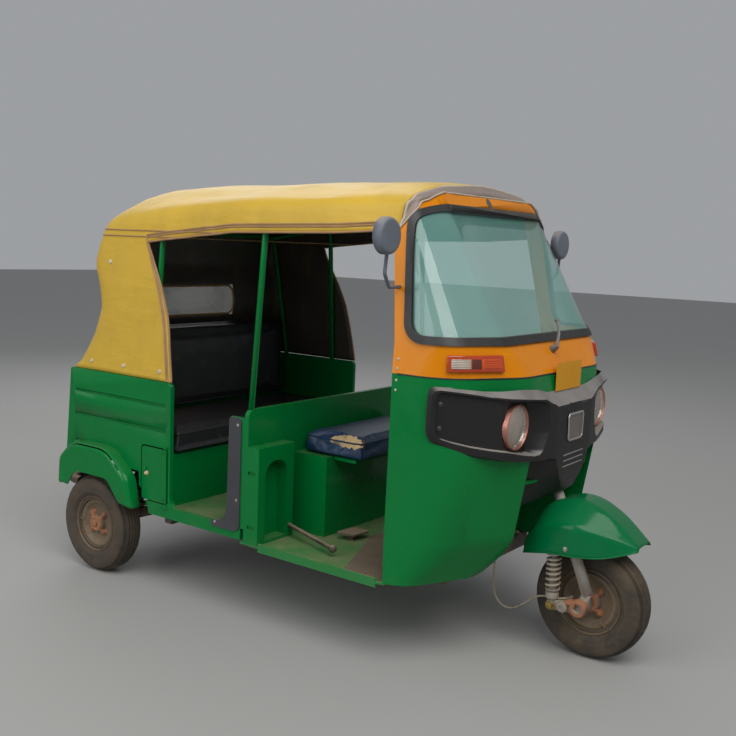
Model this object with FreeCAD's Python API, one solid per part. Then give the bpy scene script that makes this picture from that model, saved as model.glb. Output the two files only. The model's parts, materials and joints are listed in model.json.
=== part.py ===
"""Three-wheeled auto rickshaw: one STEP file for each sub-part, in millimetres.

X points forward, Y to the vehicle's left and Z up. Every function draws with X = 0 at the rear axle and Z = 0 on
the ground. save() then moves the shape so that the origin lies on the ground below the middle of the whole vehicle.
"""

import FreeCAD, Part
import math
import os

V = FreeCAD.Vector

# Running gear
WHEELBASE = 1970.0
REAR_TRACK = 1170.0
REAR_OVERHANG = 345.0  # rear axle to the back of the bumper
TYRE_R = 205.0
TYRE_W = 108.0
RIM_SEAT_R = 101.0  # bead seat of an 8 inch rim
RIM_FLANGE_R = 118.0
RIM_W = 84.0
RIM_WALL = 5.0
BEAD_GAP = 0.3
HUB_R = 42.0
HUB_BORE_R = 15.0
AXLE_CLEARANCE = 0.05
RIM_DISH_R = 62.0
RIM_DISH_SET = 14.0  # how far the disc's middle lies inboard of the rim's outer edge
NUT_CIRCLE_R = 50.0
NUT_R = 8.0
NUT_H = 12.0

# Body: rear tub
BODY_HALF = 598.0
SKIN = 18.0  # whole wall of a body panel
TUB_TOP = 851.0
TUB_REAR_TOP = -198.0
TUB_REAR_LOW = -230.0
TUB_REAR_LOW_Z = 470.0
TUB_FRONT = 430.0  # rear edge of the passenger opening
SILL_Z = 350.0
SILL_LOW = 305.0
PASSENGER_FLOOR_LOW = 332.0  # underside of the passenger floor
RIB_LEVELS = (750.0, 648.0, 531.0)
RIB_DEPTH = 6.0
RIB_H = 14.0
ARCH_R = 325.0  # wheel opening in the tub side
PANEL_GAP = 0.3
DOOR_GAP = 6.0

# Access door in the right tub side
DOOR_REAR = 264.0
DOOR_FRONT = 414.0
DOOR_LOW = 362.0
DOOR_TOP = 580.0
DOOR_PIN_X = 411.0
DOOR_PIN_Y = -BODY_HALF - 4.0
DOOR_PIN_R = 3.0
KNOB_R = 11.0

# Rear mudguards
GUARD_R = 342.0
GUARD_OUT = BODY_HALF + 58.0
GUARD_LIP_R = 218.0  # how far above the axle the outer lip's crown is
GUARD_WALL = 5.0
GUARD_FRONT = 256.0
GUARD_BACK = -226.0

# Rear panel, hatch and bumper
HATCH_HALF = 375.0
HATCH_LOW = 500.0
HATCH_TOP = 770.0
HATCH_LID = 14.0
HATCH_SET = 4.0  # how far the lid stands proud of the back wall
HATCH_PIN_Z = 765.0
HATCH_PIN_R = 4.0
LOUVRES = 7
BUMPER_TUBE_R = 19.0
BUMPER_Z = 330.0
BUMPER_HALF = 520.0

# Floors and bulkhead
FLOOR_T = 8.0
DRIVER_FLOOR_Z = 300.0
BULKHEAD_X = 822.0
BULKHEAD_T = 20.0
BULKHEAD_TOP = 802.0
STEP_FRONT = 905.0
STEP_TOP = 665.0
STEP_IN = 400.0
NICHE_W = 120.0
NICHE_TOP = 610.0
NICHE_DEPTH = 48.0
FLOOR_FRONT = 1505.0
SEAT_BOX_FRONT = 1015.0
SEAT_PAN_FRONT = 1120.0

# Dark trim round the front foot of the passenger opening
TRIM_FRONT = 816.0
TRIM_BACK = 756.0
TRIM_TOP = 768.0
TRIM_TAIL = 667.0
TRIM_T = 5.0

# Front body: plan sections (height, how far its side lies inside the tub's, side end, front, half width of the flat,
# pillar, corner radius)
COWL = [
    dict(z=300.0, inside=6.0, side=1545.0, front=1668.0, flat=350.0, pillar=1470.0, corner=110.0),
    dict(z=446.0, inside=10.0, side=1630.0, front=1806.0, flat=215.0, pillar=1466.0, corner=235.0),
    dict(z=760.0, inside=24.0, side=1660.0, front=1845.0, flat=250.0, pillar=1460.0, corner=240.0),
    dict(z=1004.0, inside=38.0, side=1655.0, front=1808.0, flat=290.0, pillar=1452.0, corner=200.0),
    dict(z=1108.0, inside=53.0, side=1650.0, front=1750.0, flat=340.0, pillar=1446.0, corner=130.0),
    dict(z=1604.0, inside=132.0, side=1410.0, front=1464.0, flat=330.0, pillar=1366.0, corner=56.0),
]
COWL_T = 18.0
HEADER_HALF = BODY_HALF - 168.0
HEADER_SHOULDER_HALF = BODY_HALF - 112.0
HEADER_SHOULDER_Z = 1480.0
HEADER_CORNER_R = 115.0
LAMP_R = 77.0
LAMP_Y = 326.0
LAMP_Z = 842.0
LAMP_FRONT = 1800.0
# The nose moulding in plan, from its outer end to the middle: x, y, corner radius
FASCIA_PLAN = [
    (1500.0, -BODY_HALF - 77.0, 0),
    (LAMP_FRONT + 6.0, -LAMP_Y - 74.0, 70),
    (1844.0, -240.0, 16),
    (1857.0, -141.0, 10),
    (1861.0, 0.0, 2000),
]
FASCIA_RECESS = 13.0  # how far the panel beside the lamp lies behind the moulding's rim
POCKET_X = 1790.0  # floor of the deep pocket round the lamp
POCKET_WALL = 4.0
BEAK_LOW = 578.0
BEAK_T = 5.0
PLATE_X = 1822.0
SHELF_Z = 1086.0
SCREEN_LOW = 1122.0
SCREEN_TOP = 1556.0
SCREEN_REAR_LOW = 1500.0
SCREEN_REAR_TOP = 1440.0
SCREEN_CORNER_R = 62.0
SEAL_LAP = 13.0
SEAL_PROUD = 9.0
GLASS_T = 5.0
GLASS_SET = 3.0
WHEEL_WELL_HALF = 268.0
WHEEL_WELL_TOP = 628.0
WHEEL_WELL_REAR = 1570.0

# Steering
RAKE = 23.0
STEER_FOOT_X = 1940.0  # where the steering axis stands at the height of STEER_FOOT_Z
STEER_FOOT_Z = 265.0
LEG_OUT = 93.0
LEG_AHEAD = 43.0  # how far the leg stands in front of the steering axis
LEG_R = 19.0
COLUMN_R = 17.0
HEAD_R = 29.0
HEAD_LOW = 655.0
HEAD_HIGH = 880.0
BAR_Z = 985.0
BAR_R = 11.0
BAR_HALF = 300.0
GRIP_R = 17.0
FRONT_AXLE_R = HUB_BORE_R - AXLE_CLEARANCE
LINK_OUT = 108.0
LINK_FOOT_X = 1864.0
LINK_FOOT_Z = 188.0
SPRING_R = 28.0
SPRING_WIRE_R = 5.0
SPRING_COILS = 8
SPRING_TOP = 452.0
FRONT_GUARD_T = 4.0
# Front mudguard sections: station, lower edge, top, half width below and half width of the top
FRONT_GUARD = [
    dict(x=1744.0, low=352.0, top=430.0, half=112.0, flat=62.0),
    dict(x=1800.0, low=370.0, top=524.0, half=140.0, flat=58.0),
    dict(x=1872.0, low=386.0, top=562.0, half=152.0, flat=54.0),
    dict(x=1950.0, low=390.0, top=566.0, half=152.0, flat=52.0),
    dict(x=2046.0, low=398.0, top=522.0, half=116.0, flat=52.0),
    dict(x=2143.0, low=420.0, top=440.0, half=74.0, flat=50.0),
]

# Roof sections from the header back: station, how far its edge lies inside the tub's side, lower edge, shoulder,
# crown, fall from the crown to the quarter point, shoulder radius
ROOF = [
    dict(x=1468.0, inside=196.0, edge=1580.0, shoulder=1594.0, crown=1611.0, fall=6.0, corner=10.0),
    dict(x=1440.0, inside=136.0, edge=1541.0, shoulder=1592.0, crown=1647.0, fall=14.0, corner=36.0),
    dict(x=1400.0, inside=110.0, edge=1474.0, shoulder=1584.0, crown=1663.0, fall=22.0, corner=60.0),
    dict(x=1150.0, inside=63.0, edge=1456.0, shoulder=1578.0, crown=1680.0, fall=42.0, corner=60.0),
    dict(x=700.0, inside=46.0, edge=1446.0, shoulder=1566.0, crown=1674.0, fall=42.0, corner=60.0),
    dict(x=300.0, inside=43.0, edge=1404.0, shoulder=1528.0, crown=1666.0, fall=42.0, corner=60.0),
    dict(x=60.0, inside=42.0, edge=1368.0, shoulder=1492.0, crown=1657.0, fall=42.0, corner=60.0),
    dict(x=-300.0, inside=50.0, edge=1298.0, shoulder=1422.0, crown=1641.0, fall=42.0, corner=60.0),
]
ROOF_QUARTER = 0.62  # the quarter point's share of the half width
ROOF_BOW_R = 1200.0  # radius across the crown
# The slanting seam between the canopy and the cap over the header: x, z
CAP_SEAM = [(1396.0, 1430.0), (1448.0, 1700.0)]
HOOD_LOW_HALF = BODY_HALF - 4.0
HOOD_TOP_HALF = BODY_HALF - 46.0
HOOD_TOP = 1420.0
# The hood seen from the side, from the tub's rear corner up and over to the roof: x, z, corner radius
HOOD_BACK = [
    (-206.0, TUB_TOP + PANEL_GAP, 0),
    (-108.0, 1000.0, 120),
    (-68.0, 1114.0, 90),
    (-90.0, 1215.0, 120),
    (-130.0, 1310.0, 50),
    (-98.0, 1400.0, 90),
    (-75.0, 1500.0, 120),
    (10.0, 1618.0, 120),
    (300.0, 1684.0, 300),
    (700.0, 1740.0, 0),
]
HOOD_BACK_STANDING = 7  # how many of its corners belong to the upright back
HOOD_FRONT = [(425.0, TUB_TOP, 0), (385.0, 1120.0, 260), (236.0, 1396.0, 0)]
REAR_WINDOW_HALF = 260.0
REAR_WINDOW_LOW = 1050.0
REAR_WINDOW_TOP = 1210.0
CLOTH_T = 7.0
CLOTH_GAP = 0.4
PANE_T = 2.0
TUBE_R = 11.0
TUBE_IN = 24.0  # from the cloth's outer face to the middle of a roof tube
HOOPS = (300.0, 838.0)
# The rear bow, and the rail from it to the front pillar: x, y, z
REAR_BOW = [(0.0, BODY_HALF - 25.0, TUB_TOP), (-30.0, BODY_HALF - 46.0, 1118.0), (-58.0, BODY_HALF - 82.0, 1440.0)]
ROOF_RAIL = [(-50.0, BODY_HALF - 98.0, 1432.0), (HOOPS[0], BODY_HALF - 78.0, 1490.0), (HOOPS[1], BODY_HALF - 80.0, 1533.0)]
RAIL_FRONT = (BODY_HALF - 136.0, 1540.0)  # y, z of the rail's end at the pillar

# Seats
CUSHION_REAR = 865.0
CUSHION_FRONT = 1160.0
CUSHION_HALF = 315.0
CUSHION_TOP = 694.0
CUSHION_T = 84.0
BENCH_TOP = 560.0
BENCH_REAR = -150.0
BENCH_FRONT = 395.0
BENCH_CUSHION_REAR = -10.0
BENCH_CUSHION_FRONT = 425.0
BENCH_CUSHION_T = 95.0
BENCH_HALF = BODY_HALF - 38.0
BACK_TOP = 1040.0
BACK_FOOT_X = -30.0
BACK_TOP_X = -68.0
BACK_PANEL_T = 10.0
BACK_PAD_T = 80.0

# Engine and running gear
ENGINE_HALF = 180.0
ENGINE_REAR = -95.0
ENGINE_FRONT = 250.0
RAIL_Y = 235.0
RAIL_HALF = 20.0
RAIL_LOW = 238.0
STUB_R = HUB_BORE_R - AXLE_CLEARANCE
STUB_IN = REAR_TRACK / 2 - RIM_W / 2 - 110.0
SHOCK_X = 40.0
SHOCK_Y = 430.0
SHOCK_TOP = 452.0
ARM_PIN = (340.0, 262.0)
ARM_PIN_R = 10.0

SHIFT_X = -(WHEELBASE + TYRE_R - REAR_OVERHANG) / 2.0


def block(x, y, z):
    """A box between two values on each axis."""
    return Part.makeBox(x[1] - x[0], y[1] - y[0], z[1] - z[0], V(x[0], y[0], z[0]))


def rod(start, end, radius):
    """A round bar from one point to another."""
    a, b = V(*start), V(*end)
    return Part.makeCylinder(radius, (b - a).Length, a, b - a)


def outline(corners, to_point):
    """A closed wire of straight edges, with an arc at each corner that has a radius. corners holds (a, b, radius)."""
    count = len(corners)
    ends = []
    for i, (a, b, radius) in enumerate(corners):
        here = V(a, b, 0)
        before = V(*corners[i - 1][:2], 0) - here
        after = V(*corners[(i + 1) % count][:2], 0) - here
        before.normalize()
        after.normalize()
        if radius <= 0:
            ends.append((here, None, here))
            continue
        half = before.getAngle(after) / 2.0
        reach = radius / math.tan(half)
        middle = before + after
        middle.normalize()
        crest = here + middle * (radius / math.sin(half) - radius)
        ends.append((here + before * reach, crest, here + after * reach))
    edges = []
    for i in range(count):
        start, crest, end = ends[i]
        if crest is not None:
            edges.append(Part.Arc(to_point(start), to_point(crest), to_point(end)).toShape())
        following = ends[(i + 1) % count][0]
        if (following - end).Length > 1e-6:
            edges.append(Part.LineSegment(to_point(end), to_point(following)).toShape())
    return Part.Wire(edges)


def plate_y(corners, low, high):
    """A side profile of (x, z, radius) corners, as thick as from low to high along Y."""
    wire = outline(corners, lambda p: V(p.x, low, p.y))
    return Part.Face(wire).extrude(V(0, high - low, 0))


def plate_x(corners, low, high):
    """A profile of (y, z, radius) corners seen from the front, from low to high along X."""
    wire = outline(corners, lambda p: V(low, p.x, p.y))
    return Part.Face(wire).extrude(V(high - low, 0, 0))


def plate_z(corners, low, high):
    """A plan profile of (x, y, radius) corners, from low to high along Z."""
    wire = outline(corners, lambda p: V(p.x, p.y, low))
    return Part.Face(wire).extrude(V(0, 0, high - low))


def bent_tube(points, radius, bend):
    """A round tube along straight runs joined by arcs. bend is one radius, or a list with one for each inner point."""
    spots = [V(*p) for p in points]
    bends = bend if isinstance(bend, list) else [bend] * (len(points) - 2)
    edges = []
    start = spots[0]
    for i in range(1, len(spots) - 1):
        before = spots[i - 1] - spots[i]
        after = spots[i + 1] - spots[i]
        before.normalize()
        after.normalize()
        half = before.getAngle(after) / 2.0
        bow = bends[i - 1]
        reach = bow / math.tan(half)
        middle = before + after
        middle.normalize()
        crest = spots[i] + middle * (bow / math.sin(half) - bow)
        enter, leave = spots[i] + before * reach, spots[i] + after * reach
        edges.append(Part.LineSegment(start, enter).toShape())
        edges.append(Part.Arc(enter, crest, leave).toShape())
        start = leave
    edges.append(Part.LineSegment(start, spots[-1]).toShape())
    ring = Part.Wire([Part.makeCircle(radius, spots[0], spots[1] - spots[0])])
    return Part.Wire(edges).makePipeShell([ring], True, True)


def turned(points, centre, axis):
    """A solid turned about an axis along Y through the centre. points holds (radius, y)."""
    spots = [V(centre[0] + r, y, centre[2]) for r, y in points]
    face = Part.Face(Part.makePolygon(spots + [spots[0]]))
    return face.revolve(V(*centre), V(*axis), 360)


def mirrored(shape):
    """The same shape on the other side of the vehicle."""
    return shape.mirror(V(0, 0, 0), V(0, 1, 0))


def fused(shapes):
    """One shape of all that is given."""
    whole = shapes[0]
    if len(shapes) > 1:
        whole = whole.multiFuse(shapes[1:])
    return whole.removeSplitter()


def save(name, shape):
    """Moves a shape to the vehicle's own origin and writes its file."""
    placed = shape.copy()
    placed.translate(V(SHIFT_X, 0, 0))
    placed.exportStep(os.path.join("parts", name + ".step"))


def on_axis(height, across=0.0):
    """The point of the steering axis at a height, moved sideways."""
    return (STEER_FOOT_X - (height - STEER_FOOT_Z) * math.tan(math.radians(RAKE)), across, height)


# Wheels


def tyre(x, y):
    """A tyre with a rounded shoulder and an open middle that the rim's bead seats fill."""
    half, seat = TYRE_W / 2.0, RIM_SEAT_R + BEAD_GAP
    flange_y = RIM_W / 2.0
    profile = [
        (seat, -flange_y + RIM_WALL + BEAD_GAP),
        (RIM_FLANGE_R + BEAD_GAP, -flange_y + RIM_WALL + BEAD_GAP),
        (RIM_FLANGE_R + 14.0, -half + 6.0),
        (TYRE_R - 46.0, -half),
        (TYRE_R - 18.0, -half + 8.0),
        (TYRE_R - 4.0, -half + 20.0),
        (TYRE_R, -half + 36.0),
        (TYRE_R, half - 36.0),
        (TYRE_R - 4.0, half - 20.0),
        (TYRE_R - 18.0, half - 8.0),
        (TYRE_R - 46.0, half),
        (RIM_FLANGE_R + 14.0, half - 6.0),
        (RIM_FLANGE_R + BEAD_GAP, flange_y - RIM_WALL - BEAD_GAP),
        (seat, flange_y - RIM_WALL - BEAD_GAP),
    ]
    return turned([(r, y + s) for r, s in profile], (x, y, TYRE_R), (0, 1, 0))


def rim(x, y, out):
    """A pressed rim with its dished disc, hub and wheel nuts. out is +1 or -1, the side that the disc shows."""
    half = RIM_W / 2.0
    inner = RIM_SEAT_R - RIM_WALL
    face = half - RIM_DISH_SET
    barrel = [
        (inner, -half),
        (RIM_FLANGE_R, -half),
        (RIM_FLANGE_R, -half + RIM_WALL),
        (RIM_SEAT_R, -half + RIM_WALL),
        (RIM_SEAT_R, half - RIM_WALL),
        (RIM_FLANGE_R, half - RIM_WALL),
        (RIM_FLANGE_R, half),
        (inner, half),
    ]
    disc = [
        (HUB_BORE_R, face - 26.0),
        (RIM_DISH_R, face - 26.0),
        (RIM_DISH_R + 12.0, face - RIM_WALL),
        (inner + 1.0, face - RIM_WALL - 8.0),
        (inner + 1.0, face - 8.0),
        (RIM_DISH_R + 10.0, face),
        (RIM_DISH_R, face),
        (RIM_DISH_R - 12.0, face - 14.0),
        (HUB_R, face - 14.0),
        (HUB_R - 4.0, face + 12.0),
        (HUB_BORE_R, face + 12.0),
    ]
    solids = []
    for profile in (barrel, disc):
        solids.append(turned([(r, y + out * s) for r, s in profile], (x, y, TYRE_R), (0, 1, 0)))
    back = y + out * (face - 14.0)
    for k in range(4):
        angle = math.radians(90.0 * k)
        spot = (x + NUT_CIRCLE_R * math.cos(angle), TYRE_R + NUT_CIRCLE_R * math.sin(angle))
        solids.append(rod((spot[0], back - out, spot[1]), (spot[0], back + out * NUT_H, spot[1]), NUT_R))
    return fused(solids)


def write_wheels():
    """Three wheels: the front one in the middle and one on each side of the rear axle."""
    rear = REAR_TRACK / 2
    for name, x, y, out in (("front", WHEELBASE, 0.0, -1), ("rear_right", 0.0, -rear, -1), ("rear_left", 0.0, rear, 1)):
        save(name + "_tyre", tyre(x, y))
        save(name + "_rim", rim(x, y, out))


# Chassis and running gear


def chassis_frame():
    """Two box rails with cross members, the struts up to the steering head and the posts over the springs."""
    high = DRIVER_FLOOR_Z - FLOOR_T - PANEL_GAP
    parts = []
    for side in (-1, 1):
        y = side * RAIL_Y
        parts.append(block((-150, 1545), (y - RAIL_HALF, y + RAIL_HALF), (RAIL_LOW, high)))
        parts.append(rod((1532, side * 300, high - 12), (1600, side * 300, 706), 16))
        parts.append(rod((1600, side * 300, 690), on_axis(HEAD_LOW + 70, side * 12), 14))
        parts.append(rod((1600, side * 300, 700), on_axis(HEAD_HIGH - 40, side * 12), 14))
        knee = (SHOCK_X, side * 305, SHOCK_TOP + PANEL_GAP + 14)
        parts.append(rod((SHOCK_X, y, high - 8), knee, 14))
        parts.append(rod(knee, (SHOCK_X, side * (SHOCK_Y + 26), knee[2]), 14))
        parts.append(Part.makeSphere(14, V(*knee)))
        parts.append(rod((ARM_PIN[0], y, ARM_PIN[1]), (ARM_PIN[0], side * 368, ARM_PIN[1]), ARM_PIN_R))
    for x, half in ((-130, RAIL_Y), (855, RAIL_Y), (1440, RAIL_Y), (1525, 320)):
        parts.append(block((x - 20, x + 20), (-half, half), (RAIL_LOW, high)))
    reach = BODY_HALF - 30
    for x, top in ((392, PASSENGER_FLOOR_LOW - PANEL_GAP), (855, high), (1440, high)):
        parts.append(block((x - 20, x + 20), (-reach, reach), (high - 18, top)))
    frame = fused(parts + [rod(on_axis(HEAD_LOW), on_axis(HEAD_HIGH), HEAD_R)])
    return frame.cut(rod(on_axis(HEAD_LOW - 30), on_axis(HEAD_HIGH + 30), COLUMN_R + AXLE_CLEARANCE))


def suspension(side):
    """A trailing arm from its pin on the frame to the stub axle, with the brake drum, coil spring and damper."""
    pivot = (ARM_PIN[0], side * 330.0, ARM_PIN[1])
    axle_in = REAR_TRACK / 2 - RIM_W / 2
    arm = bent_tube([pivot, (120.0, side * 400.0, 245.0), (0.0, side * (axle_in - 50), TYRE_R)], 22, 60)
    stub = rod((0, side * STUB_IN, TYRE_R), (0, side * (REAR_TRACK / 2 + 34), TYRE_R), STUB_R)
    drum = rod((0, side * (axle_in - 40), TYRE_R), (0, side * (REAR_TRACK / 2 - 10), TYRE_R), 84)
    eye = rod((pivot[0], side * 302.0, pivot[2]), (pivot[0], side * 360.0, pivot[2]), 24)
    foot = (60.0, side * SHOCK_Y, 240.0)
    top = (SHOCK_X, side * SHOCK_Y, SHOCK_TOP)
    parts = [arm, stub, drum, eye, rod(foot, top, 16)]
    turns = 7
    for k in range(turns):
        share = (k + 0.8) / turns
        centre = V(*foot) + (V(*top) - V(*foot)) * share
        parts.append(Part.makeTorus(36, 6, centre, V(*top) - V(*foot)))
        parts.append(Part.makeCylinder(36, 3, centre, V(*top) - V(*foot)))
    bore = rod((pivot[0], 0, pivot[2]), (pivot[0], side * 500, pivot[2]), ARM_PIN_R + AXLE_CLEARANCE)
    roof = block((-200, 300), (-700, 700), (SHOCK_TOP, 700))
    return fused(parts).cut(bore).cut(roof)


def drive_shafts():
    """Two half shafts with their rubber joints, from the gearbox to the hubs."""
    shafts = []
    gearbox_z = TYRE_R + 20
    for side in (-1, 1):
        inner = side * (ENGINE_HALF + PANEL_GAP)
        shaft = rod((0, inner, gearbox_z), (0, side * (STUB_IN - PANEL_GAP), TYRE_R), 10)
        joint = rod((0, inner, gearbox_z), (0, side * (RAIL_Y - RAIL_HALF - 4), gearbox_z - 2), 30)
        shafts.append(fused([shaft, joint]))
    inside = block((-60, 60), (-ENGINE_HALF - PANEL_GAP, ENGINE_HALF + PANEL_GAP), (100, 400))
    between = block((-60, 60), (-STUB_IN + PANEL_GAP, STUB_IN - PANEL_GAP), (100, 400))
    return Part.makeCompound([shaft.cut(inside).common(between) for shaft in shafts])


def engine_block():
    """The closed engine and gearbox as one plain mass, on four feet between the rails."""
    block_body = block((ENGINE_REAR, ENGINE_FRONT), (-ENGINE_HALF, ENGINE_HALF), (180, 500))
    inner_rail = RAIL_Y - RAIL_HALF - PANEL_GAP
    feet = [block((x, x + 40), (-inner_rail, inner_rail), (245, 285)) for x in (60, 190)]
    return fused([block_body] + feet)


def silencer():
    """The exhaust box across the tail, with the pipe from the engine and its tail pipe."""
    x, z = -190, 330
    drum = rod((x, -175, z), (x, 190, z), 48)
    pipe = rod((ENGINE_REAR - PANEL_GAP, 60, z + 6), (x, 60, z + 6), 15)
    tail = rod((x, 150, z - 10), (x - 74, 150, z - 66), 12)
    return fused([drum, pipe, tail])


# Rear tub


def side_panel(side):
    """One side of the tub: its arch, its pressed ribs and the foot of the passenger opening."""
    low = side * (BODY_HALF - SKIN) if side > 0 else -BODY_HALF
    profile = [
        (TUB_REAR_TOP, TUB_TOP, 12),
        (TUB_FRONT, TUB_TOP, 20),
        (TUB_FRONT, SILL_Z, 45),
        (BULKHEAD_X - 5, SILL_Z, 0),
        (BULKHEAD_X - 5, SILL_LOW, 0),
        (GUARD_FRONT, SILL_LOW, 0),
        (GUARD_FRONT - 12, TUB_REAR_LOW_Z, 0),
        (TUB_REAR_LOW, TUB_REAR_LOW_Z, 0),
    ]
    panel = plate_y(profile, low, low + SKIN)
    panel = panel.cut(Part.makeCylinder(ARCH_R, 100, V(0, low - 40, TYRE_R), V(0, 1, 0)))
    face = side * BODY_HALF
    for level, front in zip(RIB_LEVELS, (TUB_FRONT - 30, TUB_FRONT - 30, -120.0)):
        groove = block((TUB_REAR_TOP + 30, front), sorted((face - side * RIB_DEPTH, face + side)), (level, level + RIB_H))
        panel = panel.cut(groove)
    if side < 0:
        hole = access_outline(DOOR_GAP)
        panel = panel.cut(plate_y(hole, low - 1, low + SKIN + 1))
        lug_levels = ((DOOR_LOW - 16, DOOR_LOW - DOOR_GAP - 1), (DOOR_TOP + DOOR_GAP + 1, DOOR_TOP + 16))
        lugs = [block((DOOR_PIN_X - 7, DOOR_PIN_X + 7), (DOOR_PIN_Y - 7, low + 1), z) for z in lug_levels]
        ends = [(DOOR_PIN_X, DOOR_PIN_Y, z) for z in (DOOR_LOW - 40, DOOR_TOP + 40)]
        panel = fused([panel] + lugs).cut(rod(ends[0], ends[1], DOOR_PIN_R + AXLE_CLEARANCE))
    return panel


def access_outline(grow):
    """The access door's corners, larger all round by the given amount."""
    return [
        (DOOR_REAR - grow, DOOR_LOW - grow, 14 + grow),
        (DOOR_FRONT + grow, DOOR_LOW - grow, 14 + grow),
        (DOOR_FRONT + grow, DOOR_TOP + grow, 14 + grow),
        (DOOR_REAR - grow, DOOR_TOP + grow, 14 + grow),
    ]


def access_door():
    """The small door in the right side, with its round lock."""
    leaf = plate_y(access_outline(0), -BODY_HALF, -BODY_HALF + 6)
    lock = rod((DOOR_REAR + 20, -BODY_HALF - 7, 487), (DOOR_REAR + 20, -BODY_HALF + 3, 487), KNOB_R)
    pin = rod((DOOR_PIN_X, DOOR_PIN_Y, DOOR_LOW - 16), (DOOR_PIN_X, DOOR_PIN_Y, DOOR_TOP + 16), DOOR_PIN_R)
    reach = (DOOR_PIN_Y - DOOR_PIN_R, -BODY_HALF + 1)
    strap = block((DOOR_PIN_X - 24, DOOR_PIN_X), reach, (DOOR_LOW + 20, DOOR_TOP - 20))
    return fused([leaf, lock, pin, strap])


def rear_mudguard(side):
    """A pressed guard outside the tub: an arched shell with a rolled outer edge."""
    outer = [
        (GUARD_BACK, TYRE_R + 140, 8),
        (GUARD_BACK + 8, TYRE_R + 262, 60),
        (-130, TYRE_R + GUARD_R, 150),
        (100, TYRE_R + GUARD_R, 150),
        (GUARD_FRONT - 30, TYRE_R + 240, 90),
        (GUARD_FRONT, TYRE_R + 112, 8),
    ]
    face, lip = side * (BODY_HALF - 60), side * GUARD_OUT
    shell = plate_y(outer, min(face, lip), max(face, lip))
    edge = [e for e in shell.Edges if all(abs(v.Y - lip) < 0.01 for v in e.Vertexes)]
    upper = [e for e in edge if e.CenterOfMass.z > TYRE_R + 150]
    shell = shell.makeFillet(26.0, upper)
    inner = [
        (GUARD_BACK + 10, -10, 0),
        (GUARD_BACK + 14, TYRE_R + 250, 54),
        (-128, TYRE_R + GUARD_R - 6, 146),
        (98, TYRE_R + GUARD_R - 6, 146),
        (GUARD_FRONT - 38, TYRE_R + 234, 86),
        (GUARD_FRONT - 10, -10, 0),
    ]
    hollow = plate_y(inner, min(face - side, lip - side * GUARD_WALL), max(face - side, lip - side * GUARD_WALL))
    shell = shell.cut(hollow)
    mouth = [
        (-400, -10, 0),
        (-400, TYRE_R + 142, 0),
        (-152, TYRE_R + 142, 20),
        (-98, TYRE_R + GUARD_LIP_R, 60),
        (112, TYRE_R + GUARD_LIP_R, 60),
        (190, TYRE_R + 128, 30),
        (250, TYRE_R + 108, 10),
        (400, TYRE_R + 108, 0),
        (400, -10, 0),
    ]
    shell = shell.cut(plate_y(mouth, side * BODY_HALF - 400, side * BODY_HALF + 400))
    tub = plate_y([(GUARD_BACK - 20, 200, 0), (600, 200, 0), (600, 900, 0), (GUARD_BACK - 20, 900, 0)],
                  min(0, side * (BODY_HALF + PANEL_GAP)), max(0, side * (BODY_HALF + PANEL_GAP)))
    return shell.cut(tub)


def rear_panel():
    """The tub's back wall, around the engine hatch."""
    slope = [
        (TUB_REAR_TOP - 2, TUB_TOP, 0),
        (TUB_REAR_TOP + SKIN, TUB_TOP, 0),
        (TUB_REAR_LOW + SKIN, TUB_REAR_LOW_Z, 0),
        (TUB_REAR_LOW + SKIN, 400, 0),
        (TUB_REAR_LOW - 2, 400, 0),
        (TUB_REAR_LOW - 2, TUB_REAR_LOW_Z, 0),
    ]
    inside = BODY_HALF - SKIN - PANEL_GAP
    wall = plate_y(slope, -inside, inside)
    hole = [
        (-HATCH_HALF - DOOR_GAP, HATCH_LOW - DOOR_GAP, 30),
        (HATCH_HALF + DOOR_GAP, HATCH_LOW - DOOR_GAP, 30),
        (HATCH_HALF + DOOR_GAP, HATCH_TOP + DOOR_GAP, 30),
        (-HATCH_HALF - DOOR_GAP, HATCH_TOP + DOOR_GAP, 30),
    ]
    wall = wall.cut(plate_x(hole, -400, 0))
    pin_x = hatch_pin_x()
    lugs = []
    for side in (-1, 1):
        y = sorted((side * (HATCH_HALF + DOOR_GAP + 1), side * (HATCH_HALF + 18)))
        lugs.append(block((pin_x - 8, hatch_x(HATCH_TOP) + 4), y, (HATCH_PIN_Z - 8, HATCH_PIN_Z + 8)))
    reach = HATCH_HALF + 40
    bore = rod((pin_x, -reach, HATCH_PIN_Z), (pin_x, reach, HATCH_PIN_Z), HATCH_PIN_R + AXLE_CLEARANCE)
    return fused([wall] + lugs).cut(bore)


def hatch_pin_x():
    """X of the lid's hinge pin, just outside the back wall."""
    return hatch_x(HATCH_PIN_Z) - HATCH_SET - HATCH_PIN_R


def hatch_x(height):
    """X of the tub's back face at a height."""
    share = (height - TUB_REAR_LOW_Z) / (TUB_TOP - TUB_REAR_LOW_Z)
    return TUB_REAR_LOW + share * (TUB_REAR_TOP - TUB_REAR_LOW)


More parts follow.
